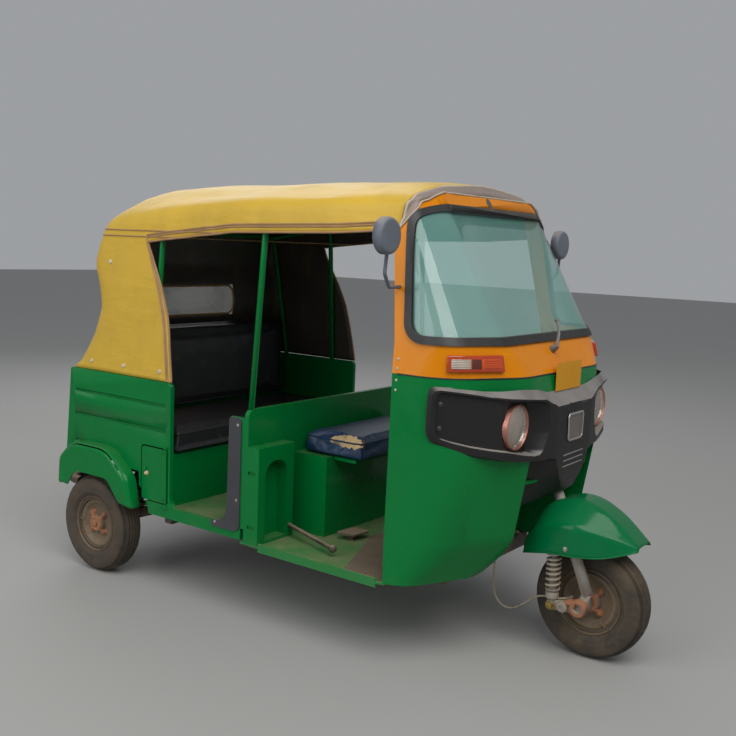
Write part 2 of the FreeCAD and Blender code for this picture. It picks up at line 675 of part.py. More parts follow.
def engine_hatch():
    """The engine lid: a sloping plate with rows of air slots, a handle and its hinge barrel."""
    slab = [
        (hatch_x(HATCH_LOW) - HATCH_SET, HATCH_LOW, 0),
        (hatch_x(HATCH_TOP) - HATCH_SET, HATCH_TOP, 0),
        (hatch_x(HATCH_TOP) - HATCH_SET + HATCH_LID, HATCH_TOP, 0),
        (hatch_x(HATCH_LOW) - HATCH_SET + HATCH_LID, HATCH_LOW, 0),
    ]
    lid = plate_y(slab, -HATCH_HALF, HATCH_HALF)
    face = [(-HATCH_HALF, HATCH_LOW, 24), (HATCH_HALF, HATCH_LOW, 24), (HATCH_HALF, HATCH_TOP, 24), (-HATCH_HALF, HATCH_TOP, 24)]
    lid = lid.common(plate_x(face, -400, 0))
    pitch = 22.0
    for row in range(LOUVRES):
        z = HATCH_LOW + 50 + row * pitch
        for low, high in ((-300, -30), (30, 300)):
            lid = lid.cut(block((-400, 0), (low, high), (z, z + 9)))
    grip_z = HATCH_LOW + 25
    grip_x = hatch_x(grip_z) - 26
    handle = rod((grip_x, -60, grip_z), (grip_x, 60, grip_z), 7)
    posts = [rod((grip_x, y, grip_z), (hatch_x(grip_z), y, grip_z), 6) for y in (-52, 52)]
    pin_x, reach = hatch_pin_x(), HATCH_HALF + 18
    pin = rod((pin_x, -reach, HATCH_PIN_Z), (pin_x, reach, HATCH_PIN_Z), HATCH_PIN_R)
    return fused([lid, handle, pin] + posts)


def rear_bumper():
    """A hoop of tube behind the engine, on two stays from the frame's end."""
    back = -REAR_OVERHANG + BUMPER_TUBE_R
    ends = [(TUB_REAR_LOW - 4, side * BUMPER_HALF, BUMPER_Z) for side in (-1, 1)]
    corners = [(back, side * BUMPER_HALF, BUMPER_Z) for side in (-1, 1)]
    hoop = bent_tube([ends[0], corners[0], corners[1], ends[1]], BUMPER_TUBE_R, 60)
    stays = [rod((back, y, BUMPER_Z), (-140, y, 265), 14) for y in (-RAIL_Y, RAIL_Y)]
    frame_end = block((-150 - PANEL_GAP, 0), (-600, 600), (200, 400))
    return fused([hoop] + stays).cut(frame_end)


def tail_lamps():
    """The pair of tail lamps on the back wall."""
    low, high = 560, 650
    seat = 2 + PANEL_GAP
    side_view = [
        (hatch_x(low) - 26, low, 6),
        (hatch_x(low) - seat, low, 0),
        (hatch_x(high) - seat, high, 0),
        (hatch_x(high) - 26, high, 6),
    ]
    return Part.makeCompound([plate_y(side_view, y, y + 130) for y in (-BODY_HALF + 43, BODY_HALF - 173)])


# Floors, bulkhead and seats


def floor_pan():
    """The passenger floor, the lower driver's floor with its rolled edge, and the toe board up to the wheel well."""
    half = BODY_HALF - SKIN - PANEL_GAP
    back = block((270, BULKHEAD_X + FLOOR_T), (-half, half), (PASSENGER_FLOOR_LOW, PASSENGER_FLOOR_LOW + FLOOR_T))
    outer = [
        (BULKHEAD_X - 4, -BODY_HALF, 0),
        (FLOOR_FRONT, -BODY_HALF, 60),
        (FLOOR_FRONT, BODY_HALF, 60),
        (BULKHEAD_X - 4, BODY_HALF, 0),
    ]
    front = plate_z(outer, DRIVER_FLOOR_Z - FLOOR_T, DRIVER_FLOOR_Z)
    riser = block((BULKHEAD_X, BULKHEAD_X + FLOOR_T), (-half, half), (DRIVER_FLOOR_Z - FLOOR_T, PASSENGER_FLOOR_LOW + FLOOR_T))
    lips = [block((STEP_FRONT + 4, FLOOR_FRONT - 60), sorted((side * BODY_HALF, side * (BODY_HALF - 7))),
                  (DRIVER_FLOOR_Z - 22, DRIVER_FLOOR_Z + 10)) for side in (-1, 1)]
    return fused([back, front, riser] + lips)


def toe_board():
    """The bent panel between the footwell and the wheel: it rises from the floor and runs forward under the nose."""
    profile = [
        (FLOOR_FRONT - 30, DRIVER_FLOOR_Z + PANEL_GAP, 0),
        (FLOOR_FRONT + 10, DRIVER_FLOOR_Z + PANEL_GAP, 30),
        (WHEEL_WELL_REAR + 4, WHEEL_WELL_TOP - 40, 40),
        (1700, WHEEL_WELL_TOP + 6, 30),
        (1840, WHEEL_WELL_TOP + 6, 0),
        (1840, WHEEL_WELL_TOP + 14, 0),
        (1697, WHEEL_WELL_TOP + 14, 30),
        (WHEEL_WELL_REAR - 6, WHEEL_WELL_TOP - 36, 40),
        (FLOOR_FRONT + 4, DRIVER_FLOOR_Z + 8, 30),
        (FLOOR_FRONT - 30, DRIVER_FLOOR_Z + 8, 0),
    ]
    board = plate_y(profile, -WHEEL_WELL_HALF - 4, WHEEL_WELL_HALF + 4)
    walls = []
    for side in (-1, 1):
        y = sorted((side * (WHEEL_WELL_HALF + 2), side * (WHEEL_WELL_HALF + 8)))
        cheek = [
            (FLOOR_FRONT + 8, DRIVER_FLOOR_Z + 2, 0),
            (1640, DRIVER_FLOOR_Z + 2, 0),
            (1760, 430, 60),
            (1840, 560, 0),
            (1840, WHEEL_WELL_TOP + 14, 0),
            (1697, WHEEL_WELL_TOP + 14, 30),
            (WHEEL_WELL_REAR - 6, WHEEL_WELL_TOP - 36, 40),
        ]
        walls.append(plate_y(cheek, y[0], y[1]))
    inside = cowl(-COWL_T - PANEL_GAP, 60, 0, 3)
    return fused([board] + walls).common(inside).cut(rod(on_axis(560), on_axis(720), HEAD_R + 8))


def bulkhead():
    """The partition behind the driver with a step box and its arched niche on each side, and the seat box."""
    half = BODY_HALF
    wall = plate_x([(-half, SILL_Z + 2, 0), (half, SILL_Z + 2, 0), (half, BULKHEAD_TOP, 30), (-half, BULKHEAD_TOP, 30)],
                   BULKHEAD_X + FLOOR_T + PANEL_GAP, BULKHEAD_X + FLOOR_T + PANEL_GAP + BULKHEAD_T)
    parts = [wall]
    front = STEP_FRONT
    for side in (-1, 1):
        jamb = sorted((side * half, side * (half - SKIN)))
        parts.append(block((TRIM_BACK + 4, BULKHEAD_X + 20), jamb, (SILL_Z + PANEL_GAP, TRIM_TOP)))
        y = sorted((side * half, side * STEP_IN))
        step = block((BULKHEAD_X + 12, front), y, (DRIVER_FLOOR_Z + PANEL_GAP, STEP_TOP))
        centre = side * (half + STEP_IN) / 2.0
        arch = [
            (centre - NICHE_W / 2, 312, 0),
            (centre + NICHE_W / 2, 312, 0),
            (centre + NICHE_W / 2, NICHE_TOP, 54),
            (centre - NICHE_W / 2, NICHE_TOP, 54),
        ]
        step = step.cut(plate_x(arch, front - NICHE_DEPTH, front + 1))
        face = side * half
        for level in (355, 560):
            groove = sorted((face - side * RIB_DEPTH, face + side))
            rib = block((BULKHEAD_X + 30, front - 16), groove, (level, level + RIB_H))
            step = step.cut(rib)
        parts.append(step)
    top = CUSHION_TOP - CUSHION_T - PANEL_GAP
    box_half, pan_half = STEP_IN - 60, CUSHION_HALF - 20
    parts.append(block((BULKHEAD_X + 12, SEAT_BOX_FRONT), (-box_half, box_half), (DRIVER_FLOOR_Z + PANEL_GAP, top)))
    parts.append(block((BULKHEAD_X + 12, SEAT_PAN_FRONT), (-pan_half, pan_half), (top - 12, top)))
    return fused(parts)


def door_trims():
    """The two dark strips that edge the front foot of the passenger opening and curl back along the sill."""
    shape = [
        (TRIM_FRONT, TRIM_TOP, 14),
        (TRIM_BACK, TRIM_TOP, 14),
        (TRIM_BACK - 6, SILL_Z + 14, 60),
        (TRIM_TAIL, SILL_Z + 8, 8),
        (TRIM_TAIL, SILL_Z - 16, 8),
        (TRIM_FRONT, SILL_Z - 16, 30),
    ]
    face = BODY_HALF + PANEL_GAP
    strip = plate_y(shape, face, face + TRIM_T)
    return Part.makeCompound([strip, mirrored(strip)])


def cushion(x, y, z, edge):
    """A plain pad with rounded edges."""
    pad = block(x, y, z)
    return pad.makeFillet(edge, pad.Edges)


def seat_back_panel():
    """The upright board that carries the passenger's back pad, between the tub's sides."""
    half = BODY_HALF - SKIN - PANEL_GAP
    top = BACK_TOP - 20
    profile = [
        (BACK_FOOT_X, BENCH_TOP + PANEL_GAP, 0),
        (BACK_FOOT_X + BACK_PANEL_T, BENCH_TOP + PANEL_GAP, 0),
        (BACK_TOP_X + BACK_PANEL_T, top, 0),
        (BACK_TOP_X, top, 0),
    ]
    low_part = plate_y(profile, -half, half)
    narrow = plate_x([(-half, 500, 0), (half, 500, 0), (half, TUB_TOP, 0), (BENCH_HALF, TUB_TOP + 20, 0),
                      (BENCH_HALF, 1100, 0), (-BENCH_HALF, 1100, 0), (-BENCH_HALF, TUB_TOP + 20, 0), (-half, TUB_TOP, 0)],
                     -200, 200)
    return low_part.common(narrow)


def seat_back_pad():
    """The passenger's back pad, leaning against its board."""
    foot = BENCH_TOP + PANEL_GAP + BENCH_CUSHION_T + PANEL_GAP
    share = (foot - BENCH_TOP) / (BACK_TOP - 20 - BENCH_TOP)
    foot_x = BACK_FOOT_X + share * (BACK_TOP_X - BACK_FOOT_X) + BACK_PANEL_T + 2 * PANEL_GAP
    top_x = BACK_TOP_X + BACK_PANEL_T + PANEL_GAP
    lean = [(foot_x, foot, 25), (foot_x + BACK_PAD_T, foot, 25), (top_x + BACK_PAD_T, BACK_TOP, 25), (top_x, BACK_TOP, 25)]
    return plate_y(lean, -BENCH_HALF + 35, BENCH_HALF - 35)


def bench_base():
    """The pressed box under the passenger's cushion, over the engine."""
    half = BODY_HALF - SKIN - PANEL_GAP
    floor = PASSENGER_FLOOR_LOW + FLOOR_T + PANEL_GAP
    profile = [
        (BENCH_REAR, 480, 0),
        (BENCH_REAR, BENCH_TOP, 0),
        (BENCH_FRONT, BENCH_TOP, 18),
        (BENCH_FRONT, floor, 0),
        (BENCH_FRONT - 10, floor, 0),
        (BENCH_FRONT - 10, BENCH_TOP - 10, 10),
        (BENCH_REAR + 10, BENCH_TOP - 10, 0),
        (BENCH_REAR + 10, 480, 0),
    ]
    return plate_y(profile, -half, half)


def floor_mat():
    """The ribbed mat in the driver's footwell."""
    edge = BODY_HALF - 12
    half_mat = [(1144, -204, 20), (1300, -edge, 20), (FLOOR_FRONT - 40, -edge, 20)]
    other = [(x, -y, r) for x, y, r in reversed(half_mat)]
    return plate_z(half_mat + other, DRIVER_FLOOR_Z + PANEL_GAP, DRIVER_FLOOR_Z + PANEL_GAP + 3)


def foot_controls():
    """The long lever beside the seat and the pedal plate on its stub."""
    lever = rod((STEP_FRONT - 10, -417, 345), (1180, -500, 331), 8)
    lever = lever.cut(block((0, STEP_FRONT + PANEL_GAP), (-700, 0), (300, 400)))
    knob = Part.makeSphere(15, V(1184, -501, 331))
    floor = DRIVER_FLOOR_Z + PANEL_GAP
    stub = block((1088, 1118), (-292, -262), (floor, floor + 24))
    pad = plate_z([(1061, -332, 12), (1140, -312, 12), (1148, -222, 12), (1072, -232, 12)], floor + 22, floor + 29)
    return Part.makeCompound([fused([lever, knob]), fused([stub, pad])])


# Front body


def plan(row, grow, stretch_rear):
    """One plan section of the front body, larger all round by grow, and longer behind the pillars by stretch_rear."""
    half, flat, corner = BODY_HALF - row["inside"] + grow, row["flat"], row["corner"] + grow
    rear = row["pillar"] - stretch_rear
    corners = [
        (rear, -half, 0),
        (row["side"], -half, corner),
        (row["front"] + grow, -flat, corner),
        (row["front"] + grow, flat, corner),
        (row["side"], half, corner),
        (rear, half, 0),
    ]
    return outline(corners, lambda p: V(p.x, p.y, row["z"]))


def cowl(grow, stretch_rear, first, last):
    """The front body's form between two rows of COWL."""
    return Part.makeLoft([plan(row, grow, stretch_rear) for row in COWL[first : last + 1]], True, True)


def front_apron():
    """The lower nose: a shell open behind and below, with the wheel well cut through its middle."""
    shell = cowl(0, 0, 0, 3).cut(cowl(-COWL_T, 60, 0, 3))
    well = [
        (WHEEL_WELL_REAR - 200, 200, 0),
        (2100, 200, 0),
        (2100, WHEEL_WELL_TOP, 0),
        (WHEEL_WELL_REAR, WHEEL_WELL_TOP, 0),
    ]
    shell = shell.cut(plate_y(well, -WHEEL_WELL_HALF, WHEEL_WELL_HALF)).cut(rod(on_axis(560), on_axis(720), HEAD_R + 6))
    return shell.cut(lamp_pockets(POCKET_WALL + PANEL_GAP)).cut(lamp_bores())


def lamp_bores():
    """The round holes that the headlamps pass through."""
    r = LAMP_R + PANEL_GAP
    return Part.makeCompound([rod((1650, y, LAMP_Z), (2000, y, LAMP_Z), r) for y in (-LAMP_Y, LAMP_Y)])


def lamp_pockets(grow):
    """The deep pocket round each lamp, larger all round and behind by the given amount."""
    outer, inner = -LAMP_Y - LAMP_R - grow, -240 + grow
    low, top = LAMP_Z - 86 - grow, LAMP_Z + 98 + grow
    corners = [(outer, low, 20), (inner, low + 6, 20), (inner, top, 20), (outer, top, 20)]
    right = plate_x(corners, POCKET_X - grow, 2000)
    return Part.makeCompound([right, mirrored(right)])


def header_brow(grow):
    """The upper nose's outline seen from the front, as a slab larger by grow: its header has round shoulders."""
    low = COWL[3]["z"] - 10
    sides = [(640, low, 0), (640, HEADER_SHOULDER_Z - 200, 0), (HEADER_SHOULDER_HALF + grow, HEADER_SHOULDER_Z, 0),
             (HEADER_HALF + grow, COWL[5]["z"] + grow, HEADER_CORNER_R + grow)]
    return plate_x(sides + [(-y, z, r) for y, z, r in reversed(sides)], 1200, 2000)


def screen_outline(grow):
    """The windscreen opening seen from the side, larger all round by the given amount."""
    return [
        (SCREEN_REAR_LOW - grow, SCREEN_LOW - grow, SCREEN_CORNER_R + grow),
        (2200, SCREEN_LOW - grow, 0),
        (2200, SCREEN_TOP + grow, 0),
        (SCREEN_REAR_TOP - grow, SCREEN_TOP + grow, SCREEN_CORNER_R + grow),
    ]


def windscreen_surround():
    """The upper nose with its pillars and header, cut for the wrapped windscreen."""
    shell = cowl(0, 0, 3, 5).cut(cowl(-COWL_T, 60, 3, 5))
    shell = shell.common(header_brow(0)).cut(plate_y(screen_outline(0), -900, 900))
    seam = block((1200, 2000), (-700, 700), (COWL[3]["z"] - 1, COWL[3]["z"] + PANEL_GAP))
    return shell.cut(seam)


def windscreen_seal():
    """The rubber section that laps the opening's edge, inside and out."""
    skin = cowl(SEAL_PROUD, 0, 4, 5).cut(cowl(PANEL_GAP, 60, 4, 5))
    ring = skin.common(plate_y(screen_outline(SEAL_LAP), -900, 900).cut(plate_y(screen_outline(-SEAL_LAP), -900, 900)))
    core = cowl(SEAL_PROUD, 0, 4, 5).cut(cowl(-GLASS_SET - GLASS_T - 3, 60, 4, 5))
    inner = core.common(plate_y(screen_outline(-PANEL_GAP), -900, 900).cut(plate_y(screen_outline(-SEAL_LAP), -900, 900)))
    return fused([ring, inner])


def windscreen_glass():
    """The curved pane, set inside the rubber."""
    skin = cowl(-GLASS_SET, 0, 4, 5).cut(cowl(-GLASS_SET - GLASS_T, 60, 4, 5))
    return skin.common(plate_y(screen_outline(-SEAL_LAP - PANEL_GAP), -900, 900))


def fascia_form(back, low, top):
    """The nose moulding's outer form between two heights, moved back by the given amount."""
    half = [(x - back, y, radius) for x, y, radius in FASCIA_PLAN]
    return plate_z(half + [(x, -y, radius) for x, y, radius in reversed(half[:-1])], low, top)


def front_fascia():
    """The nose moulding: a band that holds the lamps in deep pockets, and a hollow beak in the middle."""
    band = plate_y([(1612, 806, 26), (1650, 797, 30), (1806, 742, 0), (2000, 680, 0), (2000, 985, 0), (1806, 976, 60),
                    (1612, 960, 26)], -900, 900)
    window = plate_y([(1626, 824, 20), (1806, 757, 0), (2000, 690, 0), (2000, 940, 0), (1806, 940, 0), (1626, 944, 20)],
                     -900, 900)
    sides = fused([block((1500, 2000), y, (600, 1000)) for y in ((-900, -240), (240, 900))])
    recess = window.common(sides).cut(fascia_form(FASCIA_RECESS, 600, 1000))
    well = block((1500, 2000), (-WHEEL_WELL_HALF, WHEEL_WELL_HALF), (300, WHEEL_WELL_TOP - PANEL_GAP))
    behind = cowl(PANEL_GAP, 60, 1, 3)
    beak = fused([beak_form(0, behind.cut(well)), fascia_form(0, 700, 985).common(band).cut(behind)])
    notch_rows = ((1890, 876), (1790, 964))
    notch = Part.makeLoft([outline([(-262, 1060, 0), (-141, z, 0), (141, z, 0), (262, 1060, 0)],
                                   lambda p, x=x: V(x, p.x, p.y)) for x, z in notch_rows], True, True)
    liner = lamp_pockets(POCKET_WALL).common(fascia_form(0, 600, 1000))
    return fused([beak.cut(recess).cut(notch), liner]).cut(lamp_pockets(0)).cut(lamp_bores())


def beak_form(inset, behind):
    """The beak below the band: a shell that stands in front of the wheel well and runs back along its sides."""
    shells = []
    for inset in (0, BEAK_T):
        front = [(-236, 790, 0), (-150, 706, 30), (-132, 650, 40), (-142, BEAK_LOW - inset, 0)]
        front = [(y + inset, z, radius) for y, z, radius in front]
        seen = plate_x(front + [(-y, z, radius) for y, z, radius in reversed(front)], 1700, 2000)
        side = plate_y([(1765 - inset, BEAK_LOW - inset, 0), (1838 - inset, BEAK_LOW - inset, 6), (1856 - inset, 650, 60),
                        (1864 - inset, 900, 0), (1765 - inset, 900, 0)], -300, 300)
        shells.append(fascia_form(inset, BEAK_LOW - inset, 900 - 2 * inset).common(seen).common(side))
    return shells[0].cut(shells[1]).cut(behind)


def headlamps():
    """Two round lamps: a bowl with a domed lens."""
    lamps = []
    dome = 170.0
    for y in (-LAMP_Y, LAMP_Y):
        bowl = rod((LAMP_FRONT - 70, y, LAMP_Z), (LAMP_FRONT, y, LAMP_Z), LAMP_R)
        lens = Part.makeSphere(dome, V(LAMP_FRONT - dome + 16, y, LAMP_Z))
        lens = lens.common(rod((LAMP_FRONT - 1, y, LAMP_Z), (LAMP_FRONT + 40, y, LAMP_Z), LAMP_R - 7))
        lamps.append(fused([bowl, lens]))
    return Part.makeCompound(lamps)


def indicators():
    """The pair of long indicators that follow the corner of the upper nose."""
    skin = cowl(18, 0, 3, 4).cut(cowl(PANEL_GAP, 60, 3, 4))
    bar = plate_y([(1640, 1024, 10), (1810, 1024, 10), (1810, 1082, 10), (1640, 1082, 10)], -900, 900)
    sides = [bar.common(block((1600, 1900), y, (1000, 1108))) for y in ((-900, -365), (365, 900))]
    return Part.makeCompound([skin.common(s) for s in sides])


def front_plate():
    """A blank number plate on a short bracket that lies on the nose."""
    leaf = block((PLATE_X, PLATE_X + 3), (-100, 100), (942, 1040))
    bracket = block((PLATE_X - 60, PLATE_X + 1), (-40, 40), (978, 1000))
    return fused([leaf, bracket]).cut(cowl(PANEL_GAP, 0, 2, 4))


def dash_shelf():
    """The shelf inside the nose, under the windscreen."""
    shelf = block((1640, 1900), (-700, 700), (SHELF_Z, SHELF_Z + 10))
    return shelf.common(cowl(-COWL_T - PANEL_GAP, 0, 3, 4))


def wiper():
    """The wiper's pivot, arm and blade, which park upright against the glass."""
    pivot = rod((1762, -30, 1078), (1785, -30, 1091), 11)
    arm = rod((1780, -30, 1089), (1719, -41, 1190), 4)
    blade = rod((1733, -42, 1155), (1605, -60, 1377), 5)
    link = rod((1717, -41, 1188), (1712, -45, 1191), 6)
    return fused([pivot, arm, link, blade]).cut(cowl(PANEL_GAP, 0, 3, 5))


def mirrors():
    """Two round mirrors, each on a bent arm from the pillar."""
    pair = []
    out = BODY_HALF + 34
    for side in (-1, 1):
        foot, bend = side * (BODY_HALF - 98), side * (BODY_HALF - 18)
        route = [(1438, foot, 1285), (1438, bend, 1285), (1456, side * out, 1330), (1462, side * out, 1400)]
        arm = bent_tube(route, 6, 20).cut(cowl(PANEL_GAP, 0, 4, 5))
        disc = Part.makeCylinder(60, 34, V(1445, side * out, 1450), V(1, 0, 0))
        disc = disc.makeFillet(14, [disc.Edges[0]])
        pair.append(fused([arm, disc]))
    return Part.makeCompound(pair)


# Steering


def ahead_of_axis(height, across):
    """A point beside the wheel, in front of the steering axis by the leg's offset."""
    x, y, z = on_axis(height, across)
    return (x + LEG_AHEAD, y, z)


def steering_fork():
    """The column, its crown over the wheel, the single leg and the link that carries the axle and the spring's foot."""
    axle = (WHEELBASE, TYRE_R)
    column = rod(on_axis(560), on_axis(BAR_Z), COLUMN_R)
    collar = rod(on_axis(HEAD_LOW - 40), on_axis(HEAD_LOW - 12), HEAD_R)
    route = [on_axis(600), on_axis(500), ahead_of_axis(440, -LEG_OUT), ahead_of_axis(380, -LEG_OUT)]
    crown = bent_tube(route, LEG_R, 22)
    leg = rod(ahead_of_axis(400, -LEG_OUT), ahead_of_axis(252, -LEG_OUT), LEG_R)
    boss_in, boss_out = -(RIM_W / 2 + 24), -(LINK_OUT + 24)
    boss = rod((axle[0], boss_in, axle[1]), (axle[0], boss_out, axle[1]), 27)
    web = rod(ahead_of_axis(256, -LEG_OUT), (axle[0], -LEG_OUT, axle[1]), 17)
    link = [
        (LINK_FOOT_X - 18, LINK_FOOT_Z - 14, 12),
        (LINK_FOOT_X - 14, LINK_FOOT_Z + 16, 12),
        (axle[0] + 6, axle[1] + 22, 10),
        (axle[0] + 6, axle[1] - 24, 10),
    ]
    arm = plate_y(link, -LINK_OUT - 9, -LINK_OUT + 9)
    seat = rod((LINK_FOOT_X, -LINK_OUT, LINK_FOOT_Z), (LINK_FOOT_X, -LINK_OUT, LINK_FOOT_Z + 24 - PANEL_GAP), 16)
    middle = (LINK_FOOT_X + 48, LINK_FOOT_Z + 8)
    pivot = rod((middle[0], -LINK_OUT - 20, middle[1]), (middle[0], -LINK_OUT, middle[1]), 17)
    axle_bar = rod((axle[0], boss_out + 8, axle[1]), (axle[0], RIM_W / 2 - RIM_DISH_SET, axle[1]), FRONT_AXLE_R)
    under = SPRING_TOP + PANEL_GAP
    shelf = [
        (LINK_FOOT_X - 26, under, 0),
        (LINK_FOOT_X - 22, under + 26, 10),
        (ahead_of_axis(478, 0)[0], under + 30, 0),
        (ahead_of_axis(440, 0)[0], under - 18, 0),
        (LINK_FOOT_X + 26, under, 0),
    ]
    bracket = plate_y(shelf, -LINK_OUT - 9, -LINK_OUT + 9)
    fork = fused([column, collar, crown, leg, boss, web, arm, seat, pivot, axle_bar, bracket])
    return fork.cut(rod((axle[0], boss_out - 1, axle[1]), (axle[0], boss_out + 14, axle[1]), 15))


def front_spring():
    """The spring and damper beside the wheel: coils between two cups on a rod."""
    low, high = LINK_FOOT_Z + 24, SPRING_TOP
    x, y = LINK_FOOT_X, -LINK_OUT
    parts = [rod((x, y, low), (x, y, high), 15), rod((x, y, low), (x, y, low + 26), 21), rod((x, y, high - 24), (x, y, high), 23)]
    coil_r = SPRING_R - SPRING_WIRE_R
    for k in range(SPRING_COILS):
        z = low + 34 + (high - low - 66) * k / (SPRING_COILS - 1)
        parts.append(Part.makeTorus(coil_r, SPRING_WIRE_R, V(x, y, z), V(0.12, 0, 1)))
        parts.append(Part.makeCylinder(coil_r, 4, V(x, y, z - 2)))
    return fused(parts)


def guard_section(row, inset, drop):
    """One section of the front mudguard, seen from the front."""
    half, flat, top = row["half"] - inset, row["flat"], row["top"] - inset
    low = row["low"] - drop
    rise = row["top"] - row["low"]
    corners = [
        (-half, low, 0),
        (-half + 8, row["low"] + 0.58 * rise, 0.16 * rise),
        (-flat, top, 0.18 * rise),
        (flat, top, 0.18 * rise),
        (half - 8, row["low"] + 0.58 * rise, 0.16 * rise),
        (half, low, 0),
    ]
    return outline(corners, lambda p: V(row["x"], p.x, p.y))


def front_mudguard():
    """The hood over the front wheel: it widens over the leg and the spring and narrows to its tip."""
    outer = Part.makeLoft([guard_section(row, 0, 0) for row in FRONT_GUARD], True, True)
    inner = Part.makeLoft([guard_section(row, FRONT_GUARD_T, 12) for row in FRONT_GUARD], True, True)
    shell = outer.cut(inner).cut(rod(on_axis(640), on_axis(470), LEG_R + 1))
    tie = block((1880, 1900), (-FRONT_GUARD[2]["half"] + 6, -LINK_OUT - 9 - PANEL_GAP), (SPRING_TOP + 4, SPRING_TOP + 16))
    return fused([shell, tie])


def handlebar():
    """The bar with two grips and the instrument pod on the column's top."""
    top = V(*on_axis(BAR_Z))
    parts = []
    for side in (-1, 1):
        bend = (top.x - 30, side * 140, BAR_Z + 10)
        end = (top.x - 100, side * (BAR_HALF - 30), BAR_Z)
        parts.append(bent_tube([(top.x, 0, BAR_Z + 8), (top.x - 4, side * 50, BAR_Z + 10), bend, end], BAR_R, 40))
        reach = V(*end) - V(*bend)
        reach.normalize()
        parts.append(rod(V(*end) - reach * 105, V(*end) + reach * 12, GRIP_R))
    parts.append(rod(top + V(0, 0, 2), top + V(0, 0, 14), COLUMN_R + 5))
    pod = [
        (top.x - 40, BAR_Z + 6, 12),
        (top.x - 50, BAR_Z + 56, 12),
        (top.x + 24, BAR_Z + 58, 20),
        (top.x + 30, BAR_Z + 6, 12),
    ]
    column_top = rod(on_axis(BAR_Z - 80), on_axis(BAR_Z), COLUMN_R + PANEL_GAP)
    return fused(parts + [plate_y(pod, -62, 62)]).cut(column_top)


# Roof


def roof_row(x):
    """The roof's section values at a station, in line between the two rows beside it."""
    for ahead, behind in zip(ROOF, ROOF[1:]):
        if behind["x"] <= x <= ahead["x"]:
            share = (x - behind["x"]) / (ahead["x"] - behind["x"])
            return {key: behind[key] + share * (ahead[key] - behind[key]) for key in ahead}
    raise ValueError("no roof at that station")


def roof_corners(row, inset):
    """The corners across the roof (y, z, radius), seen from the front, smaller all round by inset."""
    half = BODY_HALF - row["inside"] - inset
    quarter, crown = half * ROOF_QUARTER, row["crown"] - inset
    right = [
        (-half, row["edge"] - inset, 0),
        (-half + 10, row["shoulder"] - 0.6 * inset, row["corner"] - 0.6 * min(inset, CLOTH_T)),
        (-quarter, crown - row["fall"], 220),
    ]
    return right + [(0, crown, ROOF_BOW_R - inset)] + [(-y, z, r) for y, z, r in reversed(right)]


def roof_form(inset):
    """The roof's form from its edge up."""
    wires = [outline(roof_corners(row, inset), lambda p, x=row["x"]: V(x, p.x, p.y)) for row in reversed(ROOF)]
    return Part.makeLoft(wires, True, True)


def hood_form(inset):
    """The rear hood's form: straight tapered sides from the tub to the roof's edge, behind its curved front edge."""
    low, top = HOOD_LOW_HALF - inset, HOOD_TOP_HALF - inset
    base = TUB_TOP + PANEL_GAP
    body = plate_x([(-low, base, 0), (-top, HOOD_TOP, 0), (top, HOOD_TOP, 0), (low, base, 0)], -300, 480)
    opening = HOOD_FRONT + [(HOOD_FRONT[2][0], 1500, 0), (900, 1500, 0), (900, TUB_TOP, 0)]
    return body.cut(plate_y(opening, -700, 700))


def side_form(inset):
    """The whole canopy's side silhouette, as a wide slab."""
    standing, over = HOOD_BACK[:HOOD_BACK_STANDING], HOOD_BACK[HOOD_BACK_STANDING:]
    points = [(x + inset, z, r) for x, z, r in standing] + [(x + 0.4 * inset, z - inset, r) for x, z, r in over]
    points += [(1500, HOOD_BACK[-1][1], 0), (1500, TUB_TOP + PANEL_GAP, 0)]
    return plate_y(points, -700, 700)


def cloth_shell():
    """The fabric roof and hood with the cap, as one shell that is open below and along both sides."""
    outer = roof_form(0).fuse(hood_form(0)).common(side_form(0))
    inner = roof_form(CLOTH_T).fuse(hood_form(CLOTH_T)).common(side_form(CLOTH_T))
    header = cowl(CLOTH_GAP, CLOTH_GAP, 3, 5).common(header_brow(CLOTH_GAP))
    return outer.cut(inner).cut(header)


def cap_side(shift):
    """The slab ahead of the slanting seam between the canopy and the cap."""
    (low_x, low_z), (top_x, top_z) = CAP_SEAM
    corners = [(low_x + shift, low_z, 0), (top_x + shift, top_z, 0), (1700, top_z, 0), (1700, low_z, 0)]
    return plate_y(corners, -700, 700)


def window_slab(grow):
    """The rear window's outline, larger all round by grow."""
    half = REAR_WINDOW_HALF + grow
    low, top = REAR_WINDOW_LOW - grow, REAR_WINDOW_TOP + grow
    return plate_x([(-half, low, 30), (half, low, 30), (half, top, 30), (-half, top, 30)], -400, 0)


def canopy(shell):
    """The fabric roof and rear hood, behind the cap's seam, with its rear window cut."""
    return shell.cut(window_slab(0)).cut(cap_side(-CLOTH_GAP))


def rear_window():
    """The clear pane in the middle of the hood's back."""
    pane = side_form(PANE_T).cut(side_form(PANE_T + PANE_T))
    return pane.common(window_slab(-PANEL_GAP))


def front_cap(shell):
    """The grey cap of cloth over the windscreen's header."""
    return shell.common(cap_side(0))


def pillar_x(height):
    """X of the front pillar's rear edge at a height above the windscreen's foot."""
    low, top = COWL[4], COWL[5]
    share = (height - low["z"]) / (top["z"] - low["z"])
    return low["pillar"] + share * (top["pillar"] - low["pillar"])


